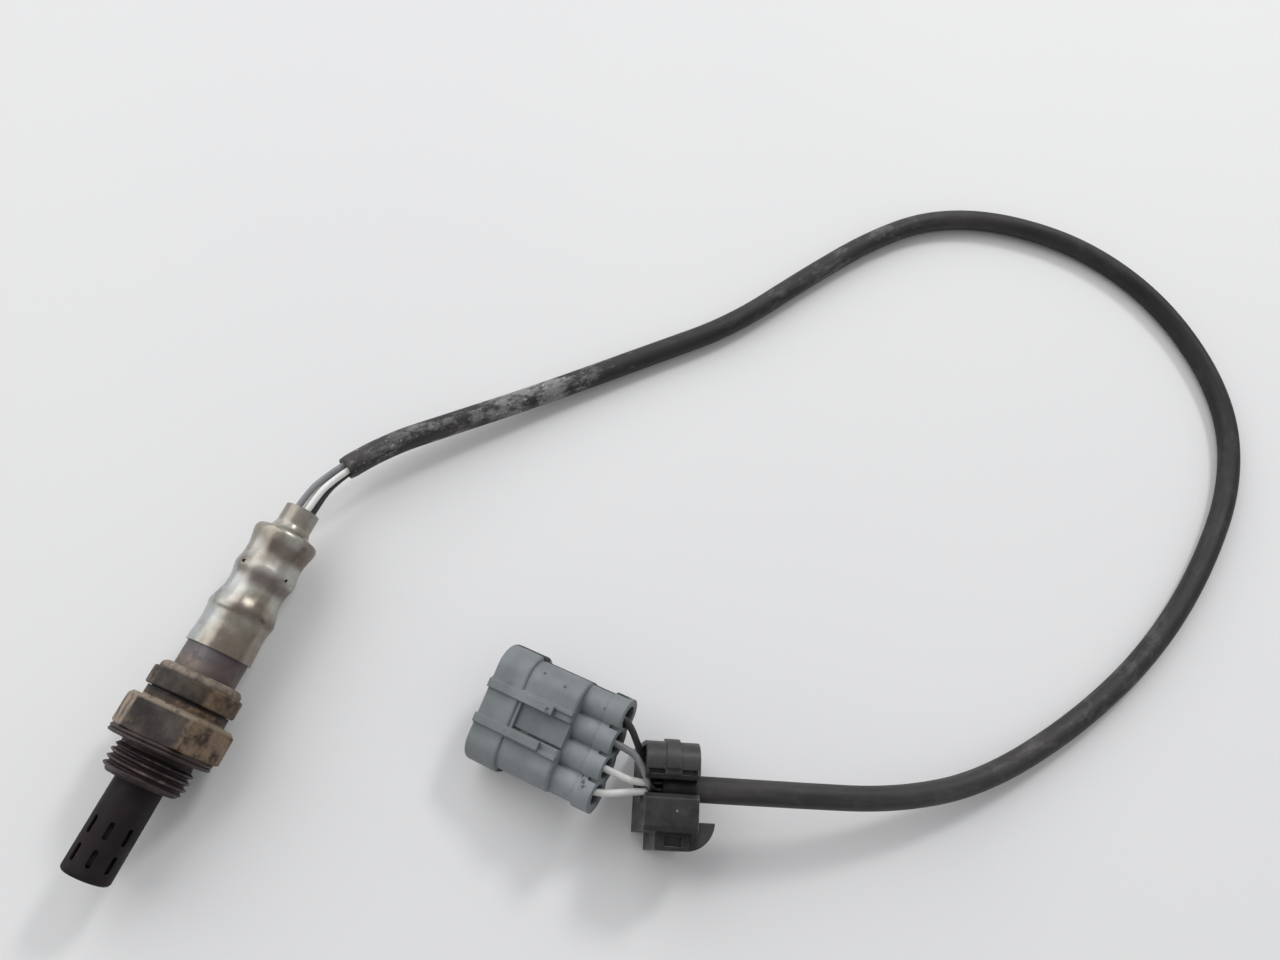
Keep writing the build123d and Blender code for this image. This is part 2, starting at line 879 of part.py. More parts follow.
yaw = radians(connector_yaw)
slope = radians(connector_pitch)
connector_axis = Vector(sin(yaw) * cos(slope), cos(yaw) * cos(slope), sin(slope))
level_width = Vector(-cos(yaw), sin(yaw), 0)
level_up = connector_axis.cross(level_width)
connector_width_axis = level_width * cos(radians(connector_roll)) + level_up * sin(
    radians(connector_roll)
)
connector_up = connector_axis.cross(connector_width_axis)
connector_height = (
    (collar_width / 2 - collar_corner) * connector_width_axis.Z
    + (collar_height / 2 - collar_corner) * connector_up.Z
    + (collar_corner - collar_rounding) * sqrt(connector_width_axis.Z**2 + connector_up.Z**2)
    + collar_rounding * (1 - connector_axis.Z)
)
connector_origin = Vector(connector_x, connector_y, connector_height)
connector_length = mating_collar_length + housing_length + exit_tube_length + exit_flange_length
seal_floor = mating_collar_length + housing_length
way_offsets = [(ways - 1) * pitch_across / 2 - index * pitch_across for index in range(ways)]


def connector_plane(depth, offset=0.0, height=0.0):
    """Plane square to the connector's axis, depth from its mating face. Local Y is its top."""
    origin = connector_origin + connector_axis * depth
    origin = origin + connector_width_axis * offset + connector_up * height
    return Plane(origin=origin, x_dir=connector_width_axis, z_dir=connector_axis)


def connector_top_plane(height):
    """Plane parallel to the connector's wide top face: local X across, local Y towards the face."""
    origin = connector_origin + connector_up * height
    return Plane(origin=origin, x_dir=connector_width_axis, z_dir=connector_up)


# Where each wire spreads between the clip and the connector: distance from the clip's middle,
# then across towards the sensor and up from the clip's bore.
fan = {
    "wire_black": {"turn": 1, "way": 0, "spread": [(4.4, -2.7, -1.2), (7.2, -7.8, 0.8)]},
    "wire_grey": {"turn": 3, "way": 1, "spread": [(4.6, 0.5, 2.6), (7.4, -6.0, 2.2)]},
    "wire_white_a": {"turn": 0, "way": 2, "spread": [(4.4, -0.6, 0.4), (8.8, -0.9, 0.6)]},
    "wire_white_b": {"turn": 2, "way": 3, "spread": [(4.4, 1.0, -0.9), (9.4, 1.5, -0.7)]},
}
fan_root_stand = 0.9
exit_stand = 0.6
exit_lean = 1.3
exit_bend_depth = 3.6


def fan_point(distance, across_way, up):
    """Point on the connector's side of the clip's bore, across towards the sensor, and up."""
    return clip_centre - clip_along * distance - clip_across * across_way + Vector(0, 0, up)


def wire_points(facts):
    """Corners of one wire from its contact barrel to its terminal."""
    turn = wire_turns()[facts["turn"]]
    barrel = around(turn, wire_circle_radius, barrel_front - barrel_floor - wire_end_inset)
    leave = exit_corner + around(turn, wire_circle_radius, 0) - Vector(seat_x, 0, axis_height)
    bundle = beside(
        [mouth_corner, *sheath_corners, sheath_end - clip_along * fan_root_stand],
        bundle_turn + facts["turn"] * 90,
        bundle_radius,
    )
    spread = [fan_point(*place) for place in facts["spread"]]
    offset = way_offsets[facts["way"]]
    hole = connector_plane(connector_length + exit_stand, offset).origin
    arriving = spread[-1] - hole
    lean = (arriving - connector_axis * arriving.dot(connector_axis)).normalized() * exit_lean
    bend = connector_plane(connector_length - exit_bend_depth, offset).origin
    terminal = connector_plane(seal_floor - terminal_length / 2, offset).origin
    return [barrel, leave, *bundle, *spread, hole + lean, bend, terminal]


def make_wire(name):
    points = wire_points(fan[name])
    radii = arc_radii(points)
    neck_straight = seat_x + neck_end - points[1].X
    first_turn = (points[1] - points[0]).get_angle(points[2] - points[1])
    radii[0] = min(radii[0], 0.9 * neck_straight / tan(radians(first_turn) / 2))
    return sweep_tube(points, radii, wire_diameter, 0, name)


# ================= Cable clip =================


def clip_section(distance):
    """Plane square to the cable at the clip: local X towards the loop's inside, local Y up."""
    return Plane(
        origin=clip_centre + clip_along * distance, x_dir=clip_across, z_dir=clip_along
    )


def clip_face(level):
    """Level plane through the clip: local X along the cable, local Y across it."""
    return Plane(origin=clip_centre + Vector(0, 0, level), x_dir=clip_along, z_dir=(0, 0, 1))


def make_cable_clip():
    half = clip_width / 2
    back = -clip_centre.Z
    lip = clip_slit / 2
    with BuildPart() as cable_clip:
        with BuildSketch(clip_section(-half)):
            with BuildLine():
                Polyline(
                    (lip, clip_front - 1.0),
                    (lip, back + clip_spine_height),
                    (lip, back),
                    (jaw_reach, back),
                    (jaw_reach, clip_front - jaw_front_radius),
                )
                RadiusArc(
                    (jaw_reach, clip_front - jaw_front_radius),
                    (jaw_reach - jaw_front_radius, clip_front),
                    -jaw_front_radius,
                )
                Polyline(
                    (jaw_reach - jaw_front_radius, clip_front),
                    (lip + 1.0, clip_front),
                    (lip, clip_front - 1.0),
                )
            make_face()
            with BuildLine():
                Polyline(
                    (-lip, clip_front - 1.6),
                    (-lip - 1.0, clip_front - 0.6),
                    (-block_reach + block_chamfer, clip_front - 0.6),
                    (-block_reach, clip_front - 0.6 - block_chamfer),
                    (-block_reach, back),
                    (-lip, back),
                    close=True,
                )
            make_face()
            with Locations((0, back)):
                Rectangle(2 * lip + 0.2, clip_spine_height, align=(Align.CENTER, Align.MIN))
        extrude(amount=clip_width)
        with BuildSketch(clip_section(-half)):
            Circle(sheath_diameter / 2 + clip_bore_clearance)
        extrude(amount=clip_width, mode=Mode.SUBTRACT)
        with BuildSketch(clip_section(-half)):
            Circle(sheath_diameter / 2 + clip_mouth)
        extrude(amount=clip_mouth, taper=45, mode=Mode.SUBTRACT)
        with BuildSketch(clip_section(-half)):
            with Locations((0, fan_pocket_floor)):
                Rectangle(
                    fan_pocket_reach, fan_pocket_top - fan_pocket_floor, align=(Align.MIN, Align.MIN)
                )
        extrude(amount=sheath_end_inset, mode=Mode.SUBTRACT)
        add_clip_rib_and_pockets(lip)
        add_clip_stem_and_fin(half)
    return cable_clip


def add_clip_rib_and_pockets(lip):
    """Central rib over the rounded jaw, and the pockets on both sides of its foot."""
    with BuildSketch(clip_section(-rib_width / 2)) as rib:
        with BuildLine():
            Polyline(
                (lip + 2.2, clip_front),
                (lip + 2.2, 0),
                (jaw_reach + rib_proud, 0),
                (jaw_reach + rib_proud, clip_front - jaw_front_radius),
            )
            RadiusArc(
                (jaw_reach + rib_proud, clip_front - jaw_front_radius),
                (jaw_reach - jaw_front_radius, clip_front + rib_proud),
                -(jaw_front_radius + rib_proud),
            )
            Polyline(
                (jaw_reach - jaw_front_radius, clip_front + rib_proud),
                (lip + 2.2, clip_front + rib_proud),
                (lip + 2.2, clip_front),
            )
        make_face()
    extrude(rib.sketch, amount=rib_width)
    with BuildSketch(clip_face(clip_front)) as pockets:
        with Locations(
            (-(rib_width + pocket_width) / 2 - 0.3, lip + 1.0 + pocket_height / 2),
            ((rib_width + pocket_width) / 2 + 0.3, lip + 1.0 + pocket_height / 2),
        ):
            Rectangle(pocket_width, pocket_height)
    extrude(pockets.sketch, amount=-pocket_depth, mode=Mode.SUBTRACT)


def add_clip_stem_and_fin(half):
    """Stem beside the block with a recess, and the quarter-round fin that hooks on a bracket."""
    back = -clip_centre.Z
    stem_start = half - 1.4 - stem_width
    with BuildSketch(clip_face(back)) as stem:
        with Locations((stem_start, -block_reach + 0.5)):
            Rectangle(
                stem_width, stem_reach - block_reach + 0.5, align=(Align.MIN, Align.MAX)
            )
    extrude(stem.sketch, amount=stem_top - back)
    with BuildSketch(clip_face(stem_top)) as recess:
        with Locations((stem_start + 2.0, -block_reach - 0.9)):
            Rectangle(stem_width - 3.6, 2.0, align=(Align.MIN, Align.MAX))
    extrude(recess.sketch, amount=-stem_recess, mode=Mode.SUBTRACT)
    with BuildSketch(clip_face(fin_level - fin_thickness)) as fin:
        with BuildLine():
            Polyline(
                (stem_start + stem_width / 2, -stem_reach),
                (fin_reach - half - 6.0, -stem_reach),
            )
            ThreePointArc(
                (fin_reach - half - 6.0, -stem_reach),
                (fin_reach - half - 1.9, -stem_reach + 1.9),
                (fin_reach - half, -fin_top),
            )
            Polyline(
                (fin_reach - half, -fin_top),
                (half - 1.0, -fin_top),
                (stem_start + stem_width / 2, -block_reach),
                (stem_start + stem_width / 2, -stem_reach),
            )
        make_face()
    extrude(fin.sketch, amount=fin_thickness)


# ================= Connector =================


def way_circles(diameter):
    """A row of overlapping circles, one for each way."""
    with Locations(*[(offset, 0) for offset in way_offsets]):
        Circle(diameter / 2)


def edges_at(piece, depth):
    """Edges of a connector piece that lie in the plane at that depth."""
    level = connector_plane(depth)
    return [
        edge
        for edge in piece.edges()
        if abs((edge @ 0 - level.origin).dot(connector_axis)) < 0.001
        and abs((edge @ 1 - level.origin).dot(connector_axis)) < 0.001
    ]


def make_connector_housing():
    with BuildPart() as connector_housing:
        with BuildSketch(connector_plane(0)):
            RectangleRounded(collar_width, collar_height, collar_corner)
        extrude(amount=mating_collar_length)
        fillet(edges_at(connector_housing, 0), collar_rounding)
        fillet(edges_at(connector_housing, mating_collar_length), collar_rounding)
        with BuildSketch(connector_plane(mating_collar_length / 2)):
            RectangleRounded(housing_width, housing_height, housing_corner)
        extrude(amount=seal_floor - mating_collar_length / 2)
        fillet(edges_at(connector_housing, seal_floor), housing_rounding)
        with BuildSketch(connector_plane(seal_floor - housing_rounding)):
            way_circles(exit_tube_diameter)
        extrude(amount=exit_tube_length + housing_rounding)
        with BuildSketch(connector_plane(connector_length - exit_flange_length)):
            way_circles(exit_flange_diameter)
        extrude(amount=exit_flange_length)
        add_rails()
        cut_latch_window()
        with BuildSketch(connector_plane(0)):
            RectangleRounded(
                collar_width - 2 * housing_wall,
                collar_height - 2 * housing_wall,
                collar_corner - housing_wall,
            )
        extrude(amount=mating_collar_length - housing_wall, mode=Mode.SUBTRACT)
        with BuildSketch(connector_plane(0)):
            shroud_outline()
        extrude(amount=shroud_depth, mode=Mode.SUBTRACT)
        with BuildSketch(connector_plane(shroud_depth)):
            way_circles(terminal_bore)
        extrude(amount=seal_floor - shroud_depth, mode=Mode.SUBTRACT)
        with BuildSketch(connector_plane(seal_floor)):
            way_circles(seal_bore)
        extrude(amount=connector_length - seal_floor, mode=Mode.SUBTRACT)
        cut_flange_notches()
    return connector_housing


def shroud_outline(gap=0.0):
    """Section of the space that the mating half enters, less a gap all round."""
    RectangleRounded(
        housing_width - 2 * housing_wall - 2 * gap,
        housing_height - 2 * housing_wall - 2 * gap,
        housing_corner - housing_wall - gap,
    )


def add_rails():
    """Two rails on the top face. Their last stretch stands clear of the body."""
    base = housing_height / 2 - 0.5
    for side in (-1, 1):
        with BuildSketch(connector_top_plane(base)) as rail:
            with Locations((side * rail_spacing / 2, 0)):
                Rectangle(rail_width, rail_length, align=(Align.CENTER, Align.MAX))
        extrude(rail.sketch, amount=collar_height / 2 + rail_height - base)
        with BuildSketch(connector_top_plane(housing_height / 2)) as gap:
            with Locations((side * rail_spacing / 2, -rail_length)):
                Rectangle(rail_width, rail_free_length, align=(Align.CENTER, Align.MIN))
        extrude(gap.sketch, amount=rail_gap, mode=Mode.SUBTRACT)
        with BuildSketch(connector_top_plane(base)) as ridge:
            with Locations((side * (rail_spacing + rail_width) / 2, 0)):
                Rectangle(ridge_width, seal_floor, align=(Align.CENTER, Align.MAX))
        extrude(ridge.sketch, amount=ridge_height + 0.5)


def cut_latch_window():
    """Sunk window between the rails, open at the back, with a slot along one rail."""
    start = mating_collar_length + window_start
    floor = housing_height / 2 - window_depth
    with BuildSketch(connector_top_plane(floor)) as window:
        with Locations((0, -start)):
            Rectangle(window_width, seal_floor - start, align=(Align.CENTER, Align.MAX))
    extrude(window.sketch, amount=2 * window_depth, mode=Mode.SUBTRACT)
    with BuildSketch(connector_top_plane(floor)) as slot:
        with Locations((-window_width / 2, -start)):
            Rectangle(window_slot_width, seal_floor - start, align=(Align.MIN, Align.MAX))
    extrude(slot.sketch, amount=-window_slot_depth, mode=Mode.SUBTRACT)


def cut_flange_notches():
    """Small notches in the flange's top between the wire exits."""
    notch_plane = connector_top_plane(exit_flange_diameter / 2 - 2 * notch_depth)
    with BuildSketch(notch_plane) as notches:
        for index in range(ways - 1):
            with Locations((way_offsets[index] - pitch_across / 2, -connector_length + 2.2)):
                Rectangle(notch_width, exit_flange_length, align=(Align.CENTER, Align.MAX))
    extrude(notches.sketch, amount=4 * notch_depth, mode=Mode.SUBTRACT)


def make_terminal_retainer():
    with BuildPart() as terminal_retainer:
        with BuildSketch(connector_plane(shroud_depth - retainer_thickness)):
            shroud_outline(retainer_clearance)
            with Locations(*[(offset, 0) for offset in way_offsets]):
                Rectangle(
                    pin_width + 2 * pin_slot_clearance,
                    pin_thickness + 2 * pin_slot_clearance,
                    mode=Mode.SUBTRACT,
                )
        extrude(amount=retainer_thickness)
    return terminal_retainer


def make_pin_terminal(offset):
    body_back = seal_floor - 0.5
    body_front = body_back - terminal_length
    with BuildPart() as pin_terminal:
        with BuildSketch(connector_plane(body_front, offset)):
            Circle(terminal_diameter / 2)
        extrude(amount=terminal_length)
        with BuildSketch(connector_plane(body_back, offset)):
            Circle(wire_diameter / 2 + wire_clearance)
        extrude(amount=-(terminal_length / 2 + 1), mode=Mode.SUBTRACT)
        with BuildSketch(connector_plane(pin_recess, offset)):
            Rectangle(pin_width, pin_thickness)
        extrude(amount=body_front - pin_recess)
        chamfer(pin_terminal.faces().sort_by(Axis(connector_origin, connector_axis))[0].edges(), 0.2)
    return pin_terminal


def make_wire_seal(offset):
    """Soft sleeve between the wire and the housing, with ribs that fill its bore."""
    root = seal_bore / 2 - seal_clearance - seal_rib
    with BuildPart() as wire_seal:
        with BuildSketch(connector_plane(seal_floor, offset)):
            Circle(root)
        extrude(amount=seal_length)
        for index in range(seal_ribs):
            rib_start = seal_floor + index * (seal_length - 1.0) / (seal_ribs - 1)
            with BuildSketch(connector_plane(rib_start, offset)):
                Circle(root + seal_rib)
            extrude(amount=1.0)
        with BuildSketch(connector_plane(seal_floor, offset)):
            Circle(wire_diameter / 2 + wire_clearance / 2)
        extrude(amount=seal_length, mode=Mode.SUBTRACT)
    return wire_seal


# ================= Build and write =================

stack_radius = shell_bore / 2 - stack_clearance
body_hole = element_body_diameter / 2 + stack_clearance
blade_radius_heater = (heater_diameter + blade_thickness) / 2 + finger_clearance
blade_reach_signal = sqrt((element_bore / 2 - finger_clearance) ** 2 - (blade_width / 2) ** 2)
blade_radius_signal = blade_reach_signal - blade_thickness / 2
turns = wire_turns()

save(make_threaded_shell(), "threaded_shell")
save(make_sealing_washer(), "sealing_washer")
save(make_locking_collar(), "locking_collar")
save(make_lower_tube(), "lower_tube")
save(make_crimped_sleeve(), "crimped_sleeve")
save(make_outer_shield(), "outer_shield")
save(make_inner_shield(), "inner_shield")
save(make_zirconia_thimble(), "zirconia_thimble")
save(make_heater_rod(), "heater_rod")
save(make_ring(inner_flange, gasket_station, stack_radius, gasket_bore / 2), "element_gasket")
save(make_ring(element_flange_back, talc_back, stack_radius, body_hole), "talc_ring")
save(make_ring(talc_back, bushing_back, stack_radius, body_hole), "ceramic_bushing")
save(make_ring(bushing_back, lip_station, stack_radius, body_hole), "compression_ring")
save(make_contact_carrier(), "contact_carrier")
save(make_disc_spring(), "disc_spring")
save(make_ring(spring_back, grommet_front, filter_diameter / 2, filter_bore / 2), "filter_sleeve")
save(make_wire_grommet(), "wire_grommet")
save(make_contact(turns[0], heater_back + 3, blade_radius_heater), "heater_contact_a")
save(make_contact(turns[2], heater_back + 3, blade_radius_heater), "heater_contact_b")
save(make_contact(turns[1], element_back + 3, blade_radius_signal), "signal_contact")
save(make_ground_contact(turns[3]), "ground_contact")

save(make_sheath(), "sheath")
for wire_name in fan:
    save(make_wire(wire_name), wire_name)
save(make_cable_clip(), "cable_clip")

save(make_connector_housing(), "connector_housing")
save(make_terminal_retainer(), "terminal_retainer")
for number, way_offset in enumerate(way_offsets, start=1):
    save(make_pin_terminal(way_offset), f"pin_terminal_{number}")
    save(make_wire_seal(way_offset), f"wire_seal_{number}")
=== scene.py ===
"""Looks of the oxygen sensor: camera, lead, detailed skins, finishes, floor and light.

Metres, +Z up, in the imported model's frame. Sizes written in millimetres are multiplied by MM.
"""

import json
import math

import bmesh
import bpy
import numpy as np
from mathutils import Matrix, Vector


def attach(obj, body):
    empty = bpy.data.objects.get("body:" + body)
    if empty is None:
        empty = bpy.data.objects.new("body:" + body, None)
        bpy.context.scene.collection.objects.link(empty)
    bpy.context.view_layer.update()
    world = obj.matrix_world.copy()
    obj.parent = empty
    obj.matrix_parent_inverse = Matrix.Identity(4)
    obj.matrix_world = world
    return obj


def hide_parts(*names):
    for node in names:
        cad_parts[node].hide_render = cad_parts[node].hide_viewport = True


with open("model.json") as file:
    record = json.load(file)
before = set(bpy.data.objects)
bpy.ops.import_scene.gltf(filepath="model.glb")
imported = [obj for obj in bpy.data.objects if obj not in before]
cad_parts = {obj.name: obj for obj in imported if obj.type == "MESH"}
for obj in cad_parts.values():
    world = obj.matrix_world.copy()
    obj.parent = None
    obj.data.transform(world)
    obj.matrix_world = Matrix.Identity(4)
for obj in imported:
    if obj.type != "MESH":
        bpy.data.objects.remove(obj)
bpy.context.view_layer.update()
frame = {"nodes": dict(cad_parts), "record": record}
nodes = frame["nodes"]
scene = bpy.context.scene
MM = 0.001


def add_object(name, data):
    """A new object in the scene."""
    thing = bpy.data.objects.new(name, data)
    scene.collection.objects.link(thing)
    return thing


def wear(piece, material):
    """Gives a piece its one material."""
    piece.data.materials.clear()
    piece.data.materials.append(material)


# Every skin, with its slot.
skins = []


def stand_for(skin, node, slot):
    """Puts a detailed skin in a node's place, with its slot and its body."""
    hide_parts(node)
    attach(skin, "root")
    skins.append((skin, slot))


# ---- Camera ----

# The photo's camera: its place, the direction behind it, and about where the photo's top points.
camera_place = Vector((6.79, 73.55, 245.3))
camera_back = Vector((0.37047, 0.01531, 0.92872)).normalized()
photo_top = Vector((-0.84443, -0.41093, 0.34363))
camera_right = photo_top.cross(camera_back).normalized()
camera_up = camera_back.cross(camera_right)
camera_turn = Matrix((camera_right, camera_up, camera_back)).transposed()
camera_data = bpy.data.cameras.new("camera")
camera_data.sensor_width = 36.0
camera_data.lens = 28.125
camera_data.clip_start = 0.01
camera_data.clip_end = 20.0
camera = add_object("camera", camera_data)
scene.camera = camera
camera.matrix_world = Matrix.Translation(camera_place * MM) @ camera_turn.to_4x4()

# ---- Sizes that the source also has, in millimetres ----

# The sensor lies along X. Its stations count from seat_x, the washer's seat, towards the tip.
axis_height = 11.0
seat_x = 16.4
hexagon_front = seat_x - 1.7
hexagon_back = seat_x - 9.2
collar_rim = seat_x - 15.8
neck_end = -60.3
neck_radius = 4.1
sleeve_bottom = -23.3
sleeve_wall = 0.5
crimp_jaws = 8
crimp_turn = 17.4
crimp_jaw_radius = 9.5
crimps = ((23.7, 13.5), (15.6, 13.1))  # height over the sleeve's bottom, width across the flats
vent_radius = 0.45
vent_count = 4
vent_turn = -33
vent_station = sleeve_bottom - 20.0
thread_pitch = 1.5
thread_start = 1.0
thread_end = 7.3
crest_radius = 9.0
relief_radius = 8.0
thread_end_chamfer = 1.3
wire_turn = 29
wire_circle_radius = 2.0
barrel_end = -42.0

# The lead. Its corners are chosen along the sheath in the photo.
wire_radius = 0.8
sheath_radius = 2.9
sheath_bore_radius = 2.2
sheath_start = Vector((-58.0, 3.4, 10.0))
exit_corner = Vector((-46.9, 0.0, 11.0))
mouth_corner = Vector((-55.2, 2.05, 10.4))
corner_places = [
    (-67.5, 8.0, 8.6),
    (-82.0, 20.5, 6.2),
    (-101.0, 37.2, 3.9),
    (-125.0, 58.0, 2.9),
    (-144.0, 75.0, 2.9),
    (-168.0, 88.5, 2.9),
    (-190.0, 102.0, 2.9),
    (-206.5, 116.5, 2.9),
    (-217.0, 137.5, 2.9),
    (-220.5, 166.0, 2.9),
    (-211.5, 194.0, 2.9),
    (-190.0, 216.5, 2.9),
    (-164.0, 224.0, 2.9),
    (-132.0, 220.0, 2.9),
    (-104.0, 211.0, 2.9),
    (-78.0, 196.5, 2.9),
    (-54.0, 177.0, 4.6),
    (-40.0, 156.0, 10.0),
    (-30.0, 130.6, 15.5),
]
sheath_corners = [Vector(place) for place in corner_places]
bundle_radius = 1.2
bundle_turn = 45

# The clip, along the sheath's last stretch.
clip_centre = Vector((-20.4, 104.2, 15.5))
clip_half_width = 6.0
clip_heading = math.radians(110)
clip_along = Vector((math.cos(clip_heading), math.sin(clip_heading), 0))
clip_across = Vector((-clip_along.y, clip_along.x, 0))
sheath_end_inset = 4.3
sheath_end = clip_centre - clip_along * (clip_half_width - sheath_end_inset)
fan_root_stand = 0.9

# The connector, leaning with its collar's edge on the floor. Depths count from its mating face.
connector_yaw = math.radians(3.6)
connector_pitch = math.radians(20.5)
connector_roll = math.radians(14.5)
connector_axis = Vector(
    (
        math.sin(connector_yaw) * math.cos(connector_pitch),
        math.cos(connector_yaw) * math.cos(connector_pitch),
        math.sin(connector_pitch),
    )
)
level_width = Vector((-math.cos(connector_yaw), math.sin(connector_yaw), 0))
level_up = connector_axis.cross(level_width)
connector_width = level_width * math.cos(connector_roll) + level_up * math.sin(connector_roll)
connector_up = connector_axis.cross(connector_width)
connector_origin = Vector((-22.9, 60.3, 7.92687))
connector_length = 31.4
seal_floor = 21.4
terminal_back = seal_floor - 3.75
ways = 4
pitch_across = 6.0
exit_stand = 0.6
exit_lean = 1.3
exit_bend_depth = 3.6
seal_bore_radius = 2.6
window_floor = 5.0
window_half_width = 3.1

# Each wire's quarter of the bundle, its way through the connector and the points where it spreads
# before it: distance from the clip's middle, then across towards the sensor, and up. Its length is
# in metres.
wires = {
    "wire_black": {
        "quarter": 1,
        "way": 0,
        "spread": [(4.4, -2.7, -1.2), (7.2, -7.8, 0.8)],
        "length": 0.5924,
        "pieces": ["pin_terminal_1", "wire_seal_1", "connector_housing"],
    },
    "wire_grey": {
        "quarter": 3,
        "way": 1,
        "spread": [(4.6, 0.5, 2.6), (7.4, -6.0, 2.2)],
        "length": 0.5988,
        "pieces": ["pin_terminal_2", "wire_seal_2", "terminal_retainer"],
    },
    "wire_white_a": {
        "quarter": 0,
        "way": 2,
        "spread": [(4.4, -0.6, 0.4), (8.8, -0.9, 0.6)],
        "length": 0.5886,
        "pieces": ["pin_terminal_3", "wire_seal_3"],
    },
    "wire_white_b": {
        "quarter": 2,
        "way": 3,
        "spread": [(4.4, 1.0, -0.9), (9.4, 1.5, -0.7)],
        "length": 0.5972,
        "pieces": ["pin_terminal_4", "wire_seal_4"],
    },
}


def around(turn, radius, station):
    """Point at a station and radius, turn degrees from up towards +Y."""
    angle = math.radians(turn)
    return Vector(
        (seat_x + station, radius * math.sin(angle), axis_height + radius * math.cos(angle))
    )


def fan_point(distance, across_way, up):
    """Point on the connector's side of the clip's bore, across towards the sensor, and up."""
    return clip_centre - clip_along * distance - clip_across * across_way + Vector((0, 0, up))


def connector_place(depth, offset):
    """Point on the connector's middle plane, at a depth and an offset across its ways."""
    return connector_origin + connector_axis * depth + connector_width * offset


# ---- Mesh helpers ----


def new_mesh(name, points, faces):
    """Mesh from points in metres."""
    mesh = bpy.data.meshes.new(name)
    mesh.from_pydata(points, [], faces)
    return mesh


def round_points(stations, radii, turns):
    """Points around the sensor's axis, in metres, from grids of stations, radii and turns."""
    across = radii * np.sin(turns)
    up = axis_height + radii * np.cos(turns)
    return np.stack([seat_x + stations, across, up], axis=2).reshape(-1, 3) * MM


def face_outward(mesh, merge=0.0):
    """Turns all faces the same way round, after joining points that are closer than merge."""
    work = bmesh.new()
    work.from_mesh(mesh)
    if merge:
        bmesh.ops.remove_doubles(work, verts=work.verts, dist=merge)
        bmesh.ops.dissolve_degenerate(work, edges=work.edges, dist=merge)
    bmesh.ops.recalc_face_normals(work, faces=work.faces)
    work.to_mesh(mesh)
    work.free()


def shade_smooth(mesh):
    """Shades every face smooth."""
    mesh.polygons.foreach_set("use_smooth", [True] * len(mesh.polygons))


# ---- The lead ----


def beside(points, turn, distance):
    """Corners of a line that runs parallel to a route, turn degrees from up towards its right."""
    travel = (points[1] - points[0]).normalized()
    up = (Vector((0, 0, 1)) - travel * travel.z).normalized()
    right = travel.cross(up)
    angle = math.radians(turn)
    offset = (up * math.cos(angle) + right * math.sin(angle)) * distance
    corners = [points[0] + offset]
    for index in range(1, len(points) - 1):
        next_travel = (points[index + 1] - points[index]).normalized()
        pivot = travel.cross(next_travel).normalized()
        inward = pivot.cross(travel)
        next_inward = pivot.cross(next_travel)
        along_pivot = offset.dot(pivot)
        along_inward = offset.dot(inward)
        mitre = (inward + next_inward) * (along_inward / (1 + travel.dot(next_travel)))
        corners.append(points[index] + pivot * along_pivot + mitre)
        offset = pivot * along_pivot + next_inward * along_inward
        travel = next_travel
    corners.append(points[-1] + offset)
    return corners


def route_line(name, corners):
    """Points along a smooth spline that has the corners as its control points, in metres."""
    curve = bpy.data.curves.new(name + "_route", "CURVE")
    curve.dimensions = "3D"
    curve.resolution_u = 14
    spline = curve.splines.new("NURBS")
    spline.points.add(len(corners) - 1)
    for point, corner in zip(spline.points, corners):
        point.co = (*(corner * MM), 1.0)
    spline.order_u = 3
    spline.use_endpoint_u = True
    holder = bpy.data.objects.new(name + "_route", curve)
    mesh = bpy.data.meshes.new_from_object(holder)
    line = np.array([v.co for v in mesh.vertices], float)
    bpy.data.objects.remove(holder)
    bpy.data.curves.remove(curve)
    bpy.data.meshes.remove(mesh)
    return line


def carried_axes(line):
    """At each point of a line, the two directions square to it, carried along without a twist."""
    travel = np.gradient(line, axis=0)
    travel /= np.linalg.norm(travel, axis=1)[:, None]
    side = np.cross(travel[0], [0, 0, 1])
    axes = []
    for direction in travel:
        side = side - direction * side.dot(direction)
        side /= np.linalg.norm(side)
        axes.append((side.copy(), np.cross(side, direction)))
    return axes


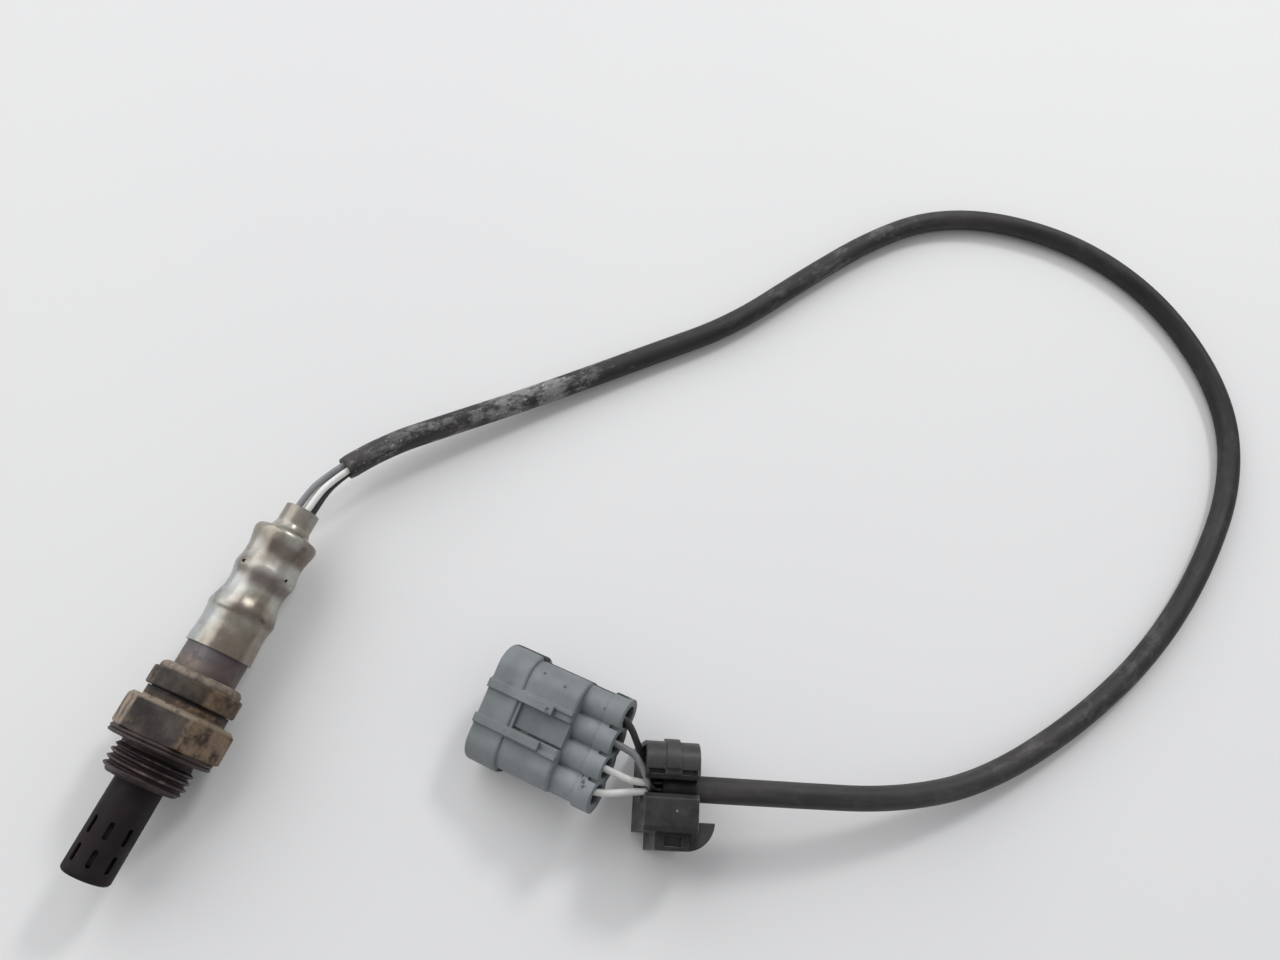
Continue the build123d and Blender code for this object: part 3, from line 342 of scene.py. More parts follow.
def tube_along(name, line, radii, segments, bore=None):
    """Tube that follows a line, solid or with a bore.

    radii has pairs of a distance along it and the radius there, and the last one holds to its end.
    The attribute lie keeps how far along and which way round each point is, for the finishes.
    """
    count = len(line)
    distances, sizes = np.array(radii).T * MM
    along = np.concatenate([[0], np.cumsum(np.linalg.norm(np.diff(line, axis=0), axis=1))])
    axes = carried_axes(line)
    angles = np.arange(segments) * 2 * np.pi / segments
    sides = [(k, (k + 1) % segments) for k in range(segments)]
    vertices, faces, lie = [], [], []

    def add_skin(radius_of, flip):
        """One round wall. Returns the number of its first point."""
        first = len(vertices)
        for (right, up), centre, distance in zip(axes, line, along):
            radius = radius_of(distance)
            for angle in angles:
                out = right * math.cos(angle) + up * math.sin(angle)
                vertices.append(centre + out * radius)
                lie.append((distance, radius * math.cos(angle), radius * math.sin(angle)))
        for index in range(count - 1):
            a = first + index * segments
            for k, k2 in sides:
                quad = (a + k, a + k2, a + segments + k2, a + segments + k)
                faces.append(quad[::-1] if flip else quad)
        return first

    outer = add_skin(lambda distance: np.interp(distance, distances, sizes), False)
    last = (count - 1) * segments
    if bore:
        inner = add_skin(lambda distance: bore * MM, True)
        for end, flip in ((0, False), (last, True)):
            for k, k2 in sides:
                quad = (outer + end + k2, outer + end + k, inner + end + k, inner + end + k2)
                faces.append(quad[::-1] if flip else quad)
    else:
        faces.append(tuple(outer + k for k in range(segments))[::-1])
        faces.append(tuple(outer + last + k for k in range(segments)))
    mesh = new_mesh(name, np.array(vertices).tolist(), faces)
    layer = mesh.attributes.new("lie", "FLOAT_VECTOR", "POINT")
    layer.data.foreach_set("vector", np.array(lie, np.float32).ravel())
    face_outward(mesh)
    mesh.polygons.foreach_set("use_smooth", [len(p.vertices) == 4 for p in mesh.polygons])
    return add_object(name, mesh)


def wire_corners(wire):
    """Corners of a wire from its barrel in the sensor, through the sheath, to its terminal."""
    turn = wire_turn + 90 * wire["quarter"]
    barrel = around(turn, wire_circle_radius, barrel_end)
    from_axis = around(turn, wire_circle_radius, -seat_x) - Vector((0, 0, axis_height))
    leave = exit_corner + from_axis
    bundle = beside(
        [mouth_corner, *sheath_corners, sheath_end - clip_along * fan_root_stand],
        bundle_turn + 90 * wire["quarter"],
        bundle_radius,
    )
    fan = [fan_point(*place) for place in wire["spread"]]
    offset = ((ways - 1) / 2 - wire["way"]) * pitch_across
    hole = connector_place(connector_length + exit_stand, offset)
    arriving = fan[-1] - hole
    lean = (arriving - connector_axis * arriving.dot(connector_axis)).normalized() * exit_lean
    bend = connector_place(connector_length - exit_bend_depth, offset)
    terminal = connector_place(terminal_back, offset)
    return [barrel, leave, *bundle, *fan, hole + lean, bend, terminal]


sheath_line = route_line("sheath", [sheath_start, *sheath_corners, sheath_end])
cut_end = [(0.0, sheath_radius - 0.15), (0.4, sheath_radius)]
sheath_skin = tube_along("sheath_skin", sheath_line, cut_end, 32, bore=sheath_bore_radius)
stand_for(sheath_skin, "sheath", "sheath_rubber")
for name, wire in wires.items():
    line = route_line(name, wire_corners(wire))
    skin = tube_along(name + "_skin", line, [(0.0, wire_radius)], 12)
    stand_for(skin, name, "wire_white" if "white" in name else name)


# ---- Crimped sleeve ----


def soft_least(a, b, width):
    """The smaller of two lengths, with the corner between them rounded off."""
    overlap = np.maximum(width - np.abs(a - b), 0) / width
    return np.minimum(a, b) - overlap * overlap * width / 4


def softened(outline, spacing, reach):
    """Stations and radii along an outline of corners, resampled and rounded over a reach."""
    points = np.array(outline)
    steps = np.linalg.norm(np.diff(points, axis=0), axis=1)
    along = np.concatenate([[0], np.cumsum(steps)])
    at = np.linspace(0, along[-1], int(along[-1] / spacing) + 1)
    dense = np.stack([np.interp(at, along, points[:, k]) for k in range(2)], axis=1)
    width = max(1, int(2.5 * reach / spacing))
    kernel = np.exp(-0.5 * (np.arange(-width, width + 1) * spacing / reach) ** 2)
    kernel /= kernel.sum()
    start = 2 * dense[0] - dense[1 : width + 1][::-1]
    end = 2 * dense[-1] - dense[-width - 1 : -1][::-1]
    padded = np.concatenate([start, dense, end])
    smooth = np.stack([np.convolve(padded[:, k], kernel, "valid") for k in range(2)], axis=1)
    smooth[0], smooth[-1] = dense[0], dense[-1]
    return smooth[:, 0], smooth[:, 1]


def sleeve_outline():
    """Stations and radii of the sleeve before it is crimped."""
    neck = [(neck_end, neck_radius), (-55.8, neck_radius)]
    shoulder = [(-54.3, 4.75), (-53.9, 5.6), (-53.35, 7.3), (-52.5, 7.62)]
    middle = [(-47.0, 7.6), (-43.3, 7.75), (-38.9, 7.8), (-32.5, 7.8)]
    skirt = [(-32.1, 7.6), (-29.5, 7.3), (-24.1, 7.62), (sleeve_bottom, 7.65)]
    return softened([*neck, *shoulder, *middle, *skirt], spacing=0.26, reach=0.3)


def crimped(stations, radii, turns):
    """Radii after both crimps. Round-nosed jaws press a ring of flats that flow into each other."""
    beyond = 99.0
    least_facing = 0.05
    between_jaws, beside_jaws = 1.5, 0.9
    for height, flats in crimps:
        off = stations - (sleeve_bottom - height)
        near = np.clip(crimp_jaw_radius**2 - off**2, 0.0, None)
        jaw = flats / 2 + crimp_jaw_radius - np.sqrt(near)
        pressed = np.full_like(radii, beyond)
        for k in range(crimp_jaws):
            angle = turns - math.radians(crimp_turn + 360 / crimp_jaws * k)
            facing = np.maximum(np.cos(angle), least_facing)
            pressed = soft_least(pressed, jaw / facing, between_jaws)
        radii = soft_least(radii, pressed, beside_jaws)
    return radii


def open_vents(outer, inner, turns):
    """Moves the points beside each vent onto its rim, and says which points lie in a vent.

    outer and inner are stations and radii of the sleeve's two faces, on one grid of turns.
    """
    furthest_moved = 0.8
    s, r = outer
    inner_s = inner[0]
    in_vent = np.zeros(turns.shape, bool)
    for k in range(vent_count):
        vent = math.radians(vent_turn + 360 / vent_count * k)
        round_way = (turns - vent + np.pi) % (2 * np.pi) - np.pi
        along = s - vent_station
        far = np.hypot(along, round_way * r)
        inside = far < vent_radius
        beside_vent = np.zeros_like(inside)
        for row in (-1, 0, 1):
            for column in (-1, 0, 1):
                beside_vent |= np.roll(inside, (row, column), axis=(0, 1))
        moved = beside_vent & ~inside & (far < furthest_moved)
        share = np.where(moved, vent_radius / np.maximum(far, vent_radius) - 1, 0.0)
        s += along * share
        inner_s += along * share
        turns += round_way * share
        in_vent |= inside
    return in_vent


def make_sleeve_skin():
    """Crimped sleeve with pressed dents and four round vents, open at both ends."""
    segments = 168
    stations, radii = sleeve_outline()
    count = len(stations)
    turns = np.tile(np.arange(segments) * 2 * np.pi / segments, (count, 1))
    s = np.repeat(stations[:, None], segments, axis=1)
    r = crimped(s, np.repeat(radii[:, None], segments, axis=1), turns)
    ds = np.gradient(s, axis=0)
    dr = np.gradient(r, axis=0)
    size = np.sqrt(ds * ds + dr * dr)
    inner_s = s + sleeve_wall * dr / size
    inner_r = r - sleeve_wall * ds / size
    inner_s[0] = neck_end
    inner_s[-1] = sleeve_bottom
    in_vent = open_vents((s, r), (inner_s, inner_r), turns)
    points = [*round_points(s, r, turns).tolist(), *round_points(inner_s, inner_r, turns).tolist()]
    total = count * segments
    faces, edge_uses = [], {}
    for i in range(count - 1):
        for j in range(segments):
            j2 = (j + 1) % segments
            if in_vent[i : i + 2, (j, j2)].any():
                continue
            a, b = i * segments + j, i * segments + j2
            c, d = b + segments, a + segments
            faces.append((a, b, c, d))
            faces.append((total + d, total + c, total + b, total + a))
            for edge in ((a, b), (b, c), (c, d), (d, a)):
                key = (min(edge), max(edge))
                edge_uses[key] = edge_uses.get(key, 0) + 1
    for (a, b), uses in edge_uses.items():
        if uses == 1:
            faces.append((a, b, total + b, total + a))
    mesh = new_mesh("sleeve_skin", points, faces)
    work = bmesh.new()
    work.from_mesh(mesh)
    bmesh.ops.delete(work, geom=[v for v in work.verts if not v.link_faces], context="VERTS")
    bmesh.ops.recalc_face_normals(work, faces=work.faces)
    sharp_angle = 0.9
    for edge in work.edges:
        edge.smooth = edge.calc_face_angle(0) < sharp_angle
    work.to_mesh(mesh)
    work.free()
    shade_smooth(mesh)
    return add_object("sleeve_skin", mesh)


# ---- Threaded shell ----


def make_shell_skin():
    """The shell without the plain cylinder that stands for its thread."""
    mesh = nodes["threaded_shell"].data.copy()
    mesh.name = "threaded_shell_skin"
    slack = 0.01
    chamfer_foot = crest_radius - thread_end_chamfer - 0.1
    work = bmesh.new()
    work.from_mesh(mesh)
    gone = []
    for face in work.faces:
        corners = [
            (v.co.x / MM - seat_x, math.hypot(v.co.y / MM, v.co.z / MM - axis_height))
            for v in face.verts
        ]
        if all(
            thread_start - slack < s < thread_end + slack and r > chamfer_foot for s, r in corners
        ):
            gone.append(face)
    bmesh.ops.delete(work, geom=gone, context="FACES")
    work.to_mesh(mesh)
    work.free()
    return add_object("threaded_shell_skin", mesh)


def make_thread_skin():
    """Real helical M18 x 1.5 thread, worn round at its crests, that runs out at both ends."""
    per_pitch, segments = 14, 132
    root_radius = 8.08
    start_slope = 1.1
    flat_share, flank_share, roundness = 0.07, 0.34, 0.35
    rows = int(math.ceil((thread_end - thread_start) / thread_pitch * per_pitch)) + per_pitch
    round_way = np.arange(segments + 1)[None, :] / segments
    turn_number = np.arange(rows + 1)[:, None] / per_pitch
    level = turn_number * thread_pitch - thread_pitch
    s = np.clip(thread_start + level + round_way * thread_pitch, thread_start, thread_end)
    phase = np.repeat(turn_number % 1.0, segments + 1, axis=1)
    tooth = np.clip((0.5 - np.abs(phase - 0.5) - flat_share) / flank_share, 0, 1)
    tooth = tooth * tooth * (3 - 2 * tooth) * roundness + tooth * (1 - roundness)
    radius = root_radius + (crest_radius - root_radius) * tooth
    radius = np.minimum(radius, relief_radius + (s - thread_start) * start_slope)
    radius = np.minimum(radius, crest_radius - thread_end_chamfer + (thread_end - s))
    wide = segments + 1
    firsts = [i * wide + j for i in range(rows) for j in range(segments)]
    faces = [(a, a + 1, a + wide + 1, a + wide) for a in firsts]
    mesh = new_mesh("thread", round_points(s, radius, round_way * 2 * np.pi).tolist(), faces)
    face_outward(mesh, merge=2e-6)
    shade_smooth(mesh)
    outward = sum(
        face.normal.dot(Vector((0, face.center.y, face.center.z - axis_height * MM)))
        for face in mesh.polygons
    )
    if outward < 0:
        mesh.flip_normals()
    return add_object("thread_skin", mesh)


stand_for(make_sleeve_skin(), "crimped_sleeve", "sleeve_steel")
stand_for(make_shell_skin(), "threaded_shell", "shell_steel")
thread_skin = make_thread_skin()
stand_for(thread_skin, "threaded_shell", "shell_steel")

# ---- Node helpers ----

# The colour sockets of a Mix node. They share their names with its number and vector sockets.
mix_a, mix_b, mix_result = 6, 7, 2


def srgb(red, green, blue):
    """A colour as a picture shows it, 0 to 255, in the linear values that nodes use."""
    values = [c / 255 for c in (red, green, blue)]
    return (*[c / 12.92 if c <= 0.04045 else ((c + 0.055) / 1.055) ** 2.4 for c in values], 1.0)


def paint(colour):
    """A written colour of three values as a linear one. Sockets and linear colours stay."""
    if isinstance(colour, tuple) and len(colour) == 3:
        return srgb(*colour)
    return colour


def grey(level):
    """A linear grey. It leaves what it multiplies as it is where the level is 1."""
    return (level, level, level, 1.0)


class Nodes:
    """Short calls that build a node tree."""

    def __init__(self, tree):
        self.tree = tree

    def put(self, socket, value):
        """Links a socket to another node's, or sets its constant."""
        if isinstance(value, bpy.types.NodeSocket):
            self.tree.links.new(value, socket)
        else:
            socket.default_value = value

    def add(self, kind, *values, **settings):
        """A new node with some of its settings, and values for its first inputs."""
        node = self.tree.nodes.new(kind)
        for key, value in settings.items():
            setattr(node, key, value)
        for socket, value in zip(node.inputs, values):
            self.put(socket, value)
        return node

    def in_frame(self):
        """The place in the frame, in metres."""
        return self.add("ShaderNodeTexCoord").outputs["Object"]

    def vector(self, operation, *values):
        """Vector maths on two or three vectors."""
        return self.add("ShaderNodeVectorMath", *values, operation=operation)

    def math(self, operation, *values, clamp=False):
        """Maths on one, two or three numbers."""
        node = self.add("ShaderNodeMath", *values, operation=operation, use_clamp=clamp)
        return node.outputs[0]

    def times(self, *factors):
        """Product of masks and shares."""
        product = factors[0]
        for factor in factors[1:]:
            product = self.math("MULTIPLY", product, factor)
        return product

    def between(self, value, low, high, out_low=0.0, out_high=1.0):
        """value from low to high, as a smooth step from out_low to out_high."""
        limits = (low, high, out_low, out_high)
        node = self.add("ShaderNodeMapRange", value, *limits, interpolation_type="SMOOTHSTEP")
        return node.outputs["Result"]

    def ramp(self, value, places, colours):
        """Colour that follows a value from 0 to 1 through colours at places."""
        node = self.add("ShaderNodeValToRGB", value)
        band = node.color_ramp
        while len(band.elements) < len(places):
            band.elements.new(0.5)
        for element, place, colour in zip(band.elements, places, colours):
            element.position = place
            element.color = paint(colour)
        return node.outputs[0]

    def blend(self, share, a, b, kind="MIX"):
        """Colour a with a share of colour b over it."""
        node = self.add("ShaderNodeMix", share, data_type="RGBA", blend_type=kind)
        self.put(node.inputs[mix_a], paint(a))
        self.put(node.inputs[mix_b], paint(b))
        return node.outputs[mix_result]

    def tint(self, colour, mask, share, tone):
        """The colour with a share of another tone where the mask is 1."""
        return self.blend(self.times(mask, share), colour, tone)


class Finish(Nodes):
    """One procedural material. Patterns lie in the frame or along the attribute lie."""

    def __init__(self, name, metallic=0.0, on_cord=False):
        self.material = bpy.data.materials.new(name)
        self.material.use_nodes = True
        super().__init__(self.material.node_tree)
        self.shader = self.tree.nodes["Principled BSDF"]
        self.shader.inputs["Metallic"].default_value = metallic
        if on_cord:
            lie = self.add("ShaderNodeAttribute", attribute_name="lie")
            self.place = lie.outputs["Vector"]
        else:
            self.place = self.in_frame()

    def axis(self, letter):
        """One coordinate, in millimetres."""
        node = self.add("ShaderNodeSeparateXYZ", self.place)
        return self.times(node.outputs[letter], 1 / MM)

    def reach(self, origin, direction):
        """Distance along a direction from a point in the frame, in millimetres."""
        along = self.vector("DOT_PRODUCT", self.in_frame(), direction).outputs["Value"]
        start = Vector(origin).dot(Vector(direction))
        return self.math("MULTIPLY_ADD", along, 1 / MM, -start)

    def distance(self, point):
        """Distance from a point in the frame, in metres. The point is in millimetres."""
        place = Vector(point) * MM
        return self.vector("DISTANCE", self.in_frame(), place).outputs["Value"]

    def spot(self, centre, radius, soft=0.5):
        """1 inside a small spot at a point in millimetres, falling to 0 at its rim."""
        far = self.times(self.distance(centre), 1 / MM)
        return self.between(far, radius * soft, radius, 1.0, 0.0)

    def in_clip(self):
        """1 on what lies inside the cable clip, which is painted dark as shade, 0 elsewhere."""
        along = self.reach(clip_centre, -clip_along)
        end = clip_half_width
        inside = self.times(
            self.between(along, -end - 0.4, 0.6 - end), self.between(along, end - 0.6, end - 1.6)
        )
        near = self.between(self.distance(clip_centre), 14 * MM, 12 * MM)
        return self.times(inside, near)

    def noise(self, scale, detail=4.0, rough=0.55, stretch=(1, 1, 1), shift=0.0):
        """Noise whose blotches are about 1/scale metres wide."""
        offset = (shift, shift * 0.7, shift * 1.3)
        moved = self.vector("MULTIPLY_ADD", self.place, stretch, offset).outputs[0]
        node = self.add("ShaderNodeTexNoise", moved)
        node.inputs["Scale"].default_value = scale
        node.inputs["Detail"].default_value = detail
        node.inputs["Roughness"].default_value = rough
        return node.outputs["Fac"]

    def edges(self, radius):
        """1 along outer and inner edges, 0 on open faces, and the softened normal."""
        bevel = self.add("ShaderNodeBevel", samples=6)
        bevel.inputs["Radius"].default_value = radius * MM
        flat = self.add("ShaderNodeNewGeometry").outputs["Normal"]
        alike = self.vector("DOT_PRODUCT", bevel.outputs[0], flat).outputs["Value"]
        return self.between(self.math("SUBTRACT", 1.0, alike), 0.02, 0.2), bevel.outputs[0]

    def bump(self, height, strength, distance, normal=None):
        """A normal from a pattern of heights, on top of another normal."""
        node = self.add("ShaderNodeBump")
        node.inputs["Strength"].default_value = strength
        node.inputs["Distance"].default_value = distance * MM
        self.put(node.inputs["Height"], height)
        if normal is not None:
            self.put(node.inputs["Normal"], normal)
        return node.outputs[0]

    def finish(self, colour, rough, normal=None, shine=0.5):
        """Sets the shader, and gives the material."""
        self.shader.inputs["Specular IOR Level"].default_value = shine
        self.put(self.shader.inputs["Base Color"], colour)
        self.put(self.shader.inputs["Roughness"], rough)
        if normal is not None:
            self.put(self.shader.inputs["Normal"], normal)
        return self.material


# ---- Finishes of the sensor ----

# In these finishes x and side are the frame's X and Y, in millimetres.


def sleeve_finish():
    """Crimped stainless steel: warm grey, with painted shade in a brown tint on the dent slopes,
    and a painted reflection as a pale wash down its left.
    """
    f = Finish("sleeve_steel", metallic=0.65)
    x = f.axis("X")
    side = f.axis("Y")
    wander = f.math("MULTIPLY_ADD", f.noise(160, 3, shift=12.0), 3.0, x)
    broad = f.noise(120, 4, 0.55, shift=3.1)
    tones = ((122, 112, 102), (150, 145, 134), (176, 174, 168))
    colour = f.ramp(broad, (0.36, 0.5, 0.64), tones)
    # Painted shade: darker bands in a brown tint on the slopes that run into each crimp, across the
    # middle and right of the sleeve.
    shaded_dent_bands = ((-34.0, -28.4), (-25.4, -20.4), (-17.2, -13.0))
    for start, end in shaded_dent_bands:
        dent_shade = f.times(f.between(wander, start, start + 2.0), f.between(wander, end, end - 2.0))
        dent_shade = f.times(dent_shade, f.between(side, -3.5, 0.5))
        colour = f.tint(colour, dent_shade, 0.75, (104, 90, 86))
    # Painted reflection: a pale bluish wash down the sleeve's left side, standing for a bright
    # backdrop mirrored in the metal.
    painted_reflection = f.times(f.between(side, 0.5, -5.5), f.between(wander, -33.0, -24.0))
    painted_reflection = f.times(painted_reflection, f.between(f.noise(190, 4, 0.6, shift=4.4), 0.34, 0.56))
    colour = f.tint(colour, painted_reflection, 0.7, (178, 183, 186))
    neck = f.between(wander, -37.0, -39.0)
    colour = f.tint(colour, neck, 0.7, (134, 127, 118))
    warm = f.times(f.between(side, 0.0, 5.0), f.between(wander, -13.5, -9.0))
    colour = f.tint(colour, warm, 0.75, (128, 115, 102))
    stain = f.between(f.noise(260, 5, 0.65, shift=5.5), 0.55, 0.70)
    colour = f.tint(colour, stain, 0.4, (126, 115, 105))
    fine = f.noise(420, 5, 0.6, (0.6, 1, 1), shift=1.7)
    mixed = f.math("MULTIPLY_ADD", broad, 0.6, f.times(fine, 0.4))
    rough = f.between(mixed, 0.35, 0.65, 0.22, 0.38)
    normal = f.bump(f.noise(900, 4, 0.6), 0.07, 0.04)
    return f.finish(colour, rough, normal)


def tube_finish():
    """Grey steel tube with a purple heat tint and a faint straw band above the collar."""
    f = Finish("tube_steel", metallic=0.5)
    broad = f.noise(160, 4, 0.6, (0.5, 1, 1), shift=2.0)
    heat = f.between(f.math("MULTIPLY_ADD", broad, 4.0, f.axis("X")), -5.0, 1.5)
    tones = ((98, 95, 97), (106, 99, 100), (118, 106, 98), (108, 96, 89))
    colour = f.ramp(heat, (0.0, 0.45, 0.72, 1.0), tones)
    purple = f.times(f.between(f.axis("Y"), 0.0, 4.0), f.between(broad, 0.25, 0.55, 0.6, 1.0))
    colour = f.tint(colour, purple, 0.7, (88, 74, 76))
    blotch = f.between(f.noise(300, 5, 0.65, shift=7.0), 0.46, 0.64)
    colour = f.tint(colour, blotch, 0.6, (76, 68, 68))
    rough = f.between(broad, 0.3, 0.7, 0.4, 0.58)
    normal = f.bump(f.noise(700, 5, 0.6), 0.25, 0.06)
    return f.finish(colour, rough, normal)


def rusty_steel(name, facet_edge, front, left, right, shift):
    """Oxidised steel: a dark front, a pale spotted left side, a brown right and worn edges.

    facet_edge is how far from the middle the front ends. Each of front, left and right is a list
    of tones, from dark to pale.
    """
    f = Finish(name, metallic=0.15)
    side = f.axis("Y")
    patch = f.noise(150, 5, 0.6, shift=shift)
    grain = f.noise(640, 5, 0.65, shift=shift + 2)
    spots = f.noise(300, 6, 0.68, shift=shift + 4)
    wander = f.math("MULTIPLY_ADD", patch, 2.4, side)
    colour = f.ramp(patch, (0.36, 0.5, 0.64), front)
    on_left = f.between(wander, 0.6 - facet_edge, 0.0 - facet_edge)
    colour = f.blend(on_left, colour, f.ramp(spots, (0.4, 0.55), left))
    on_right = f.between(wander, facet_edge + 0.2, facet_edge + 1.6)
    colour = f.blend(on_right, colour, f.ramp(spots, (0.38, 0.5, 0.62), right))
    speck = f.between(f.noise(1500, 4, 0.7, shift=shift + 9), 0.6, 0.72)
    colour = f.tint(colour, speck, 0.7, (36, 29, 25))
    edge, soft = f.edges(0.3)
    worn = f.times(edge, f.between(grain, 0.38, 0.6))
    colour = f.tint(colour, worn, 0.7, (130, 118, 103))
    rough = f.between(grain, 0.3, 0.7, 0.48, 0.74)
    height = f.math("MULTIPLY_ADD", patch, 0.6, f.times(grain, 0.4))
    normal = f.bump(height, 0.5, 0.12, soft)
    return f, colour, rough, normal, spots


def shell_finish():
    """Hexagon with a tan chamfer, rusty foot towards the collar with a painted shadow line where it
    meets the collar, scorched below.
    """
    f, colour, rough, normal, spots = rusty_steel(
        "shell_steel",
        facet_edge=6.0,
        front=[(39, 34, 34), (54, 48, 47), (75, 68, 62)],
        left=[(66, 54, 47), (146, 128, 110)],
        right=[(54, 43, 37), (112, 93, 76), (128, 108, 90)],
        shift=1.3,
    )
    x = f.axis("X")
    deposit = f.between(f.noise(260, 6, 0.68, shift=21), 0.55, 0.66)
    deposit = f.times(deposit, f.between(x, hexagon_back + 3.3, hexagon_front - 0.7))
    colour = f.tint(colour, deposit, 0.8, (110, 89, 67))
    chamfer = f.times(
        f.between(x, hexagon_back + 1.1, hexagon_back + 0.4),
        f.between(x, hexagon_back - 1.0, hexagon_back - 0.2),
    )
    chamfer = f.times(chamfer, f.between(f.noise(280, 5, 0.6, shift=6), 0.34, 0.5))
    colour = f.tint(colour, chamfer, 0.8, (146, 133, 116))
    rust = f.noise(420, 6, 0.7, shift=3)
    foot = f.ramp(rust, (0.38, 0.5, 0.62), ((51, 38, 31), (85, 67, 54), (123, 100, 80)))
    foot = f.blend(f.between(f.axis("Y"), 3.5, -2.0), foot, (57, 46, 40))
    # Painted shadow: a near-black line at the foot's end, in the gap under the collar.
    foot = f.blend(f.between(x, hexagon_back - 1.3, hexagon_back - 1.9), foot, (20, 15, 13))
    on_foot = f.between(x, hexagon_back - 0.1, hexagon_back - 0.6)
    colour = f.tint(colour, on_foot, 0.95, foot)
    under = f.between(x, hexagon_front - 0.5, hexagon_front + 0.3)
    under = f.times(under, f.between(spots, 0.4, 0.5))
    colour = f.tint(colour, under, 0.7, (31, 25, 24))
    burnt = f.between(x, hexagon_front + 0.2, hexagon_front + 0.9)
    dark = f.ramp(f.noise(300, 5, 0.6, shift=2), (0.35, 0.7), ((30, 23, 24), (54, 43, 42)))
    colour = f.blend(burnt, colour, dark)
    return f.finish(colour, rough, normal, shine=0.35)


def thread_finish():
    """Scorched thread: dark in its roots, with grey crests that are rubbed metal and carry a
    painted highlight.
    """
    f = Finish("thread_steel", metallic=0.3)
    side = f.axis("Y")
    above = f.math("SUBTRACT", f.axis("Z"), axis_height)
    radius = f.math("SQRT", f.math("ADD", f.times(side, side), f.times(above, above)))
    patch = f.noise(240, 5, 0.6, shift=4)
    colour = f.ramp(patch, (0.3, 0.55, 0.75), ((41, 31, 33), (58, 45, 46), (76, 59, 57)))
    # Grey crests: rubbed metal, with a painted highlight along each crest.
    crest = f.times(
        f.between(radius, crest_radius - 0.25, crest_radius), f.between(patch, 0.42, 0.6)
    )
    colour = f.tint(colour, crest, 0.7, (109, 95, 92))
    root = f.between(radius, relief_radius + 0.35, relief_radius + 0.1)
    colour = f.tint(colour, root, 0.7, (20, 14, 15))
    rough = f.between(f.noise(500, 4, shift=1), 0.3, 0.7, 0.42, 0.66)
    normal = f.bump(f.noise(900, 5, 0.65, shift=3), 0.4, 0.08)
    return f.finish(colour, rough, normal)


def washer_finish():
    """Dark crush washer with a painted highlight line round its rim."""
    f = Finish("washer_steel", metallic=0.5)
    patch = f.noise(200, 5, 0.6, shift=9)
    colour = f.ramp(patch, (0.35, 0.6, 0.75), ((48, 37, 37), (67, 56, 55), (83, 72, 69)))
    edge, soft = f.edges(0.25)
    # Painted highlight: a thin light line along the washer's edges, broken by noise.
    rim = f.times(edge, f.between(f.noise(420, 4, shift=2), 0.36, 0.56))
    colour = f.tint(colour, rim, 0.7, (141, 134, 130))
    rough = f.between(patch, 0.3, 0.7, 0.38, 0.6)
    normal = f.bump(f.noise(700, 5, 0.6, shift=5), 0.35, 0.08, soft)
    return f.finish(colour, rough, normal)


def collar_finish():
    """Locking collar: dark grey-brown, tan at its right end, a paler shoulder."""
    f, colour, rough, normal, _ = rusty_steel(
        "collar_steel",
        facet_edge=5.6,
        front=[(33, 25, 25), (52, 45, 42), (74, 66, 57)],
        left=[(48, 36, 30), (95, 81, 66)],
        right=[(54, 41, 31), (85, 69, 53), (110, 93, 74)],
        shift=12.6,
    )
    shoulder = f.between(f.axis("X"), collar_rim + 0.1, collar_rim - 0.4)
    mottle = f.noise(300, 5, 0.6, shift=14)
    tone = f.ramp(mottle, (0.36, 0.5, 0.64), ((84, 74, 67), (122, 110, 99), (150, 137, 121)))
    colour = f.tint(colour, shoulder, 0.9, tone)
    return f.finish(colour, rough, normal, shine=0.35)


def shield_finish():
    """Sooty protection tube, slightly paler towards its closed end."""
    f = Finish("shield_steel", metallic=0.2)
    patch = f.noise(170, 5, 0.6, shift=21)
    colour = f.ramp(patch, (0.3, 0.55, 0.78), ((20, 14, 16), (29, 22, 24), (40, 32, 33)))
    brown = f.between(f.noise(330, 6, 0.7, shift=2), 0.44, 0.64)
    brown = f.times(brown, f.between(f.axis("X"), 32.0, 46.0))
    colour = f.tint(colour, brown, 0.6, (48, 40, 38))
    edge, soft = f.edges(0.25)
    colour = f.tint(colour, edge, 0.2, (74, 65, 64))
    rough = f.between(patch, 0.3, 0.7, 0.56, 0.8)
    height = f.math("MULTIPLY_ADD", f.noise(1100, 5, 0.7, shift=6), 0.5, patch)
    normal = f.bump(height, 0.5, 0.12, soft)
    return f.finish(colour, rough, normal, shine=0.3)


# ---- Finishes of the connector and the clip ----

# Small marks, placed where the photo shows them: centres and one radius each.
connector_nicks = [
    ((-31.4, 68.5, 19.0), 0.5),
    ((-30.3, 73.8, 21.2), 0.6),
    ((-29.1, 83.9, 22.8), 0.6),
    ((-24.0, 72.4, 21.0), 0.8),
    ((-14.7, 84.9, 18.8), 0.9),
    ((-14.2, 85.2, 19.1), 0.7),
    ((-13.5, 85.7, 19.5), 0.9),
    ((-12.7, 86.3, 20.0), 0.7),
    ((-9.2, 81.0, 14.2), 0.9),
]
clip_fleck = (-16.0, 107.0, 20.9)
clip_fleck_radius = 0.36


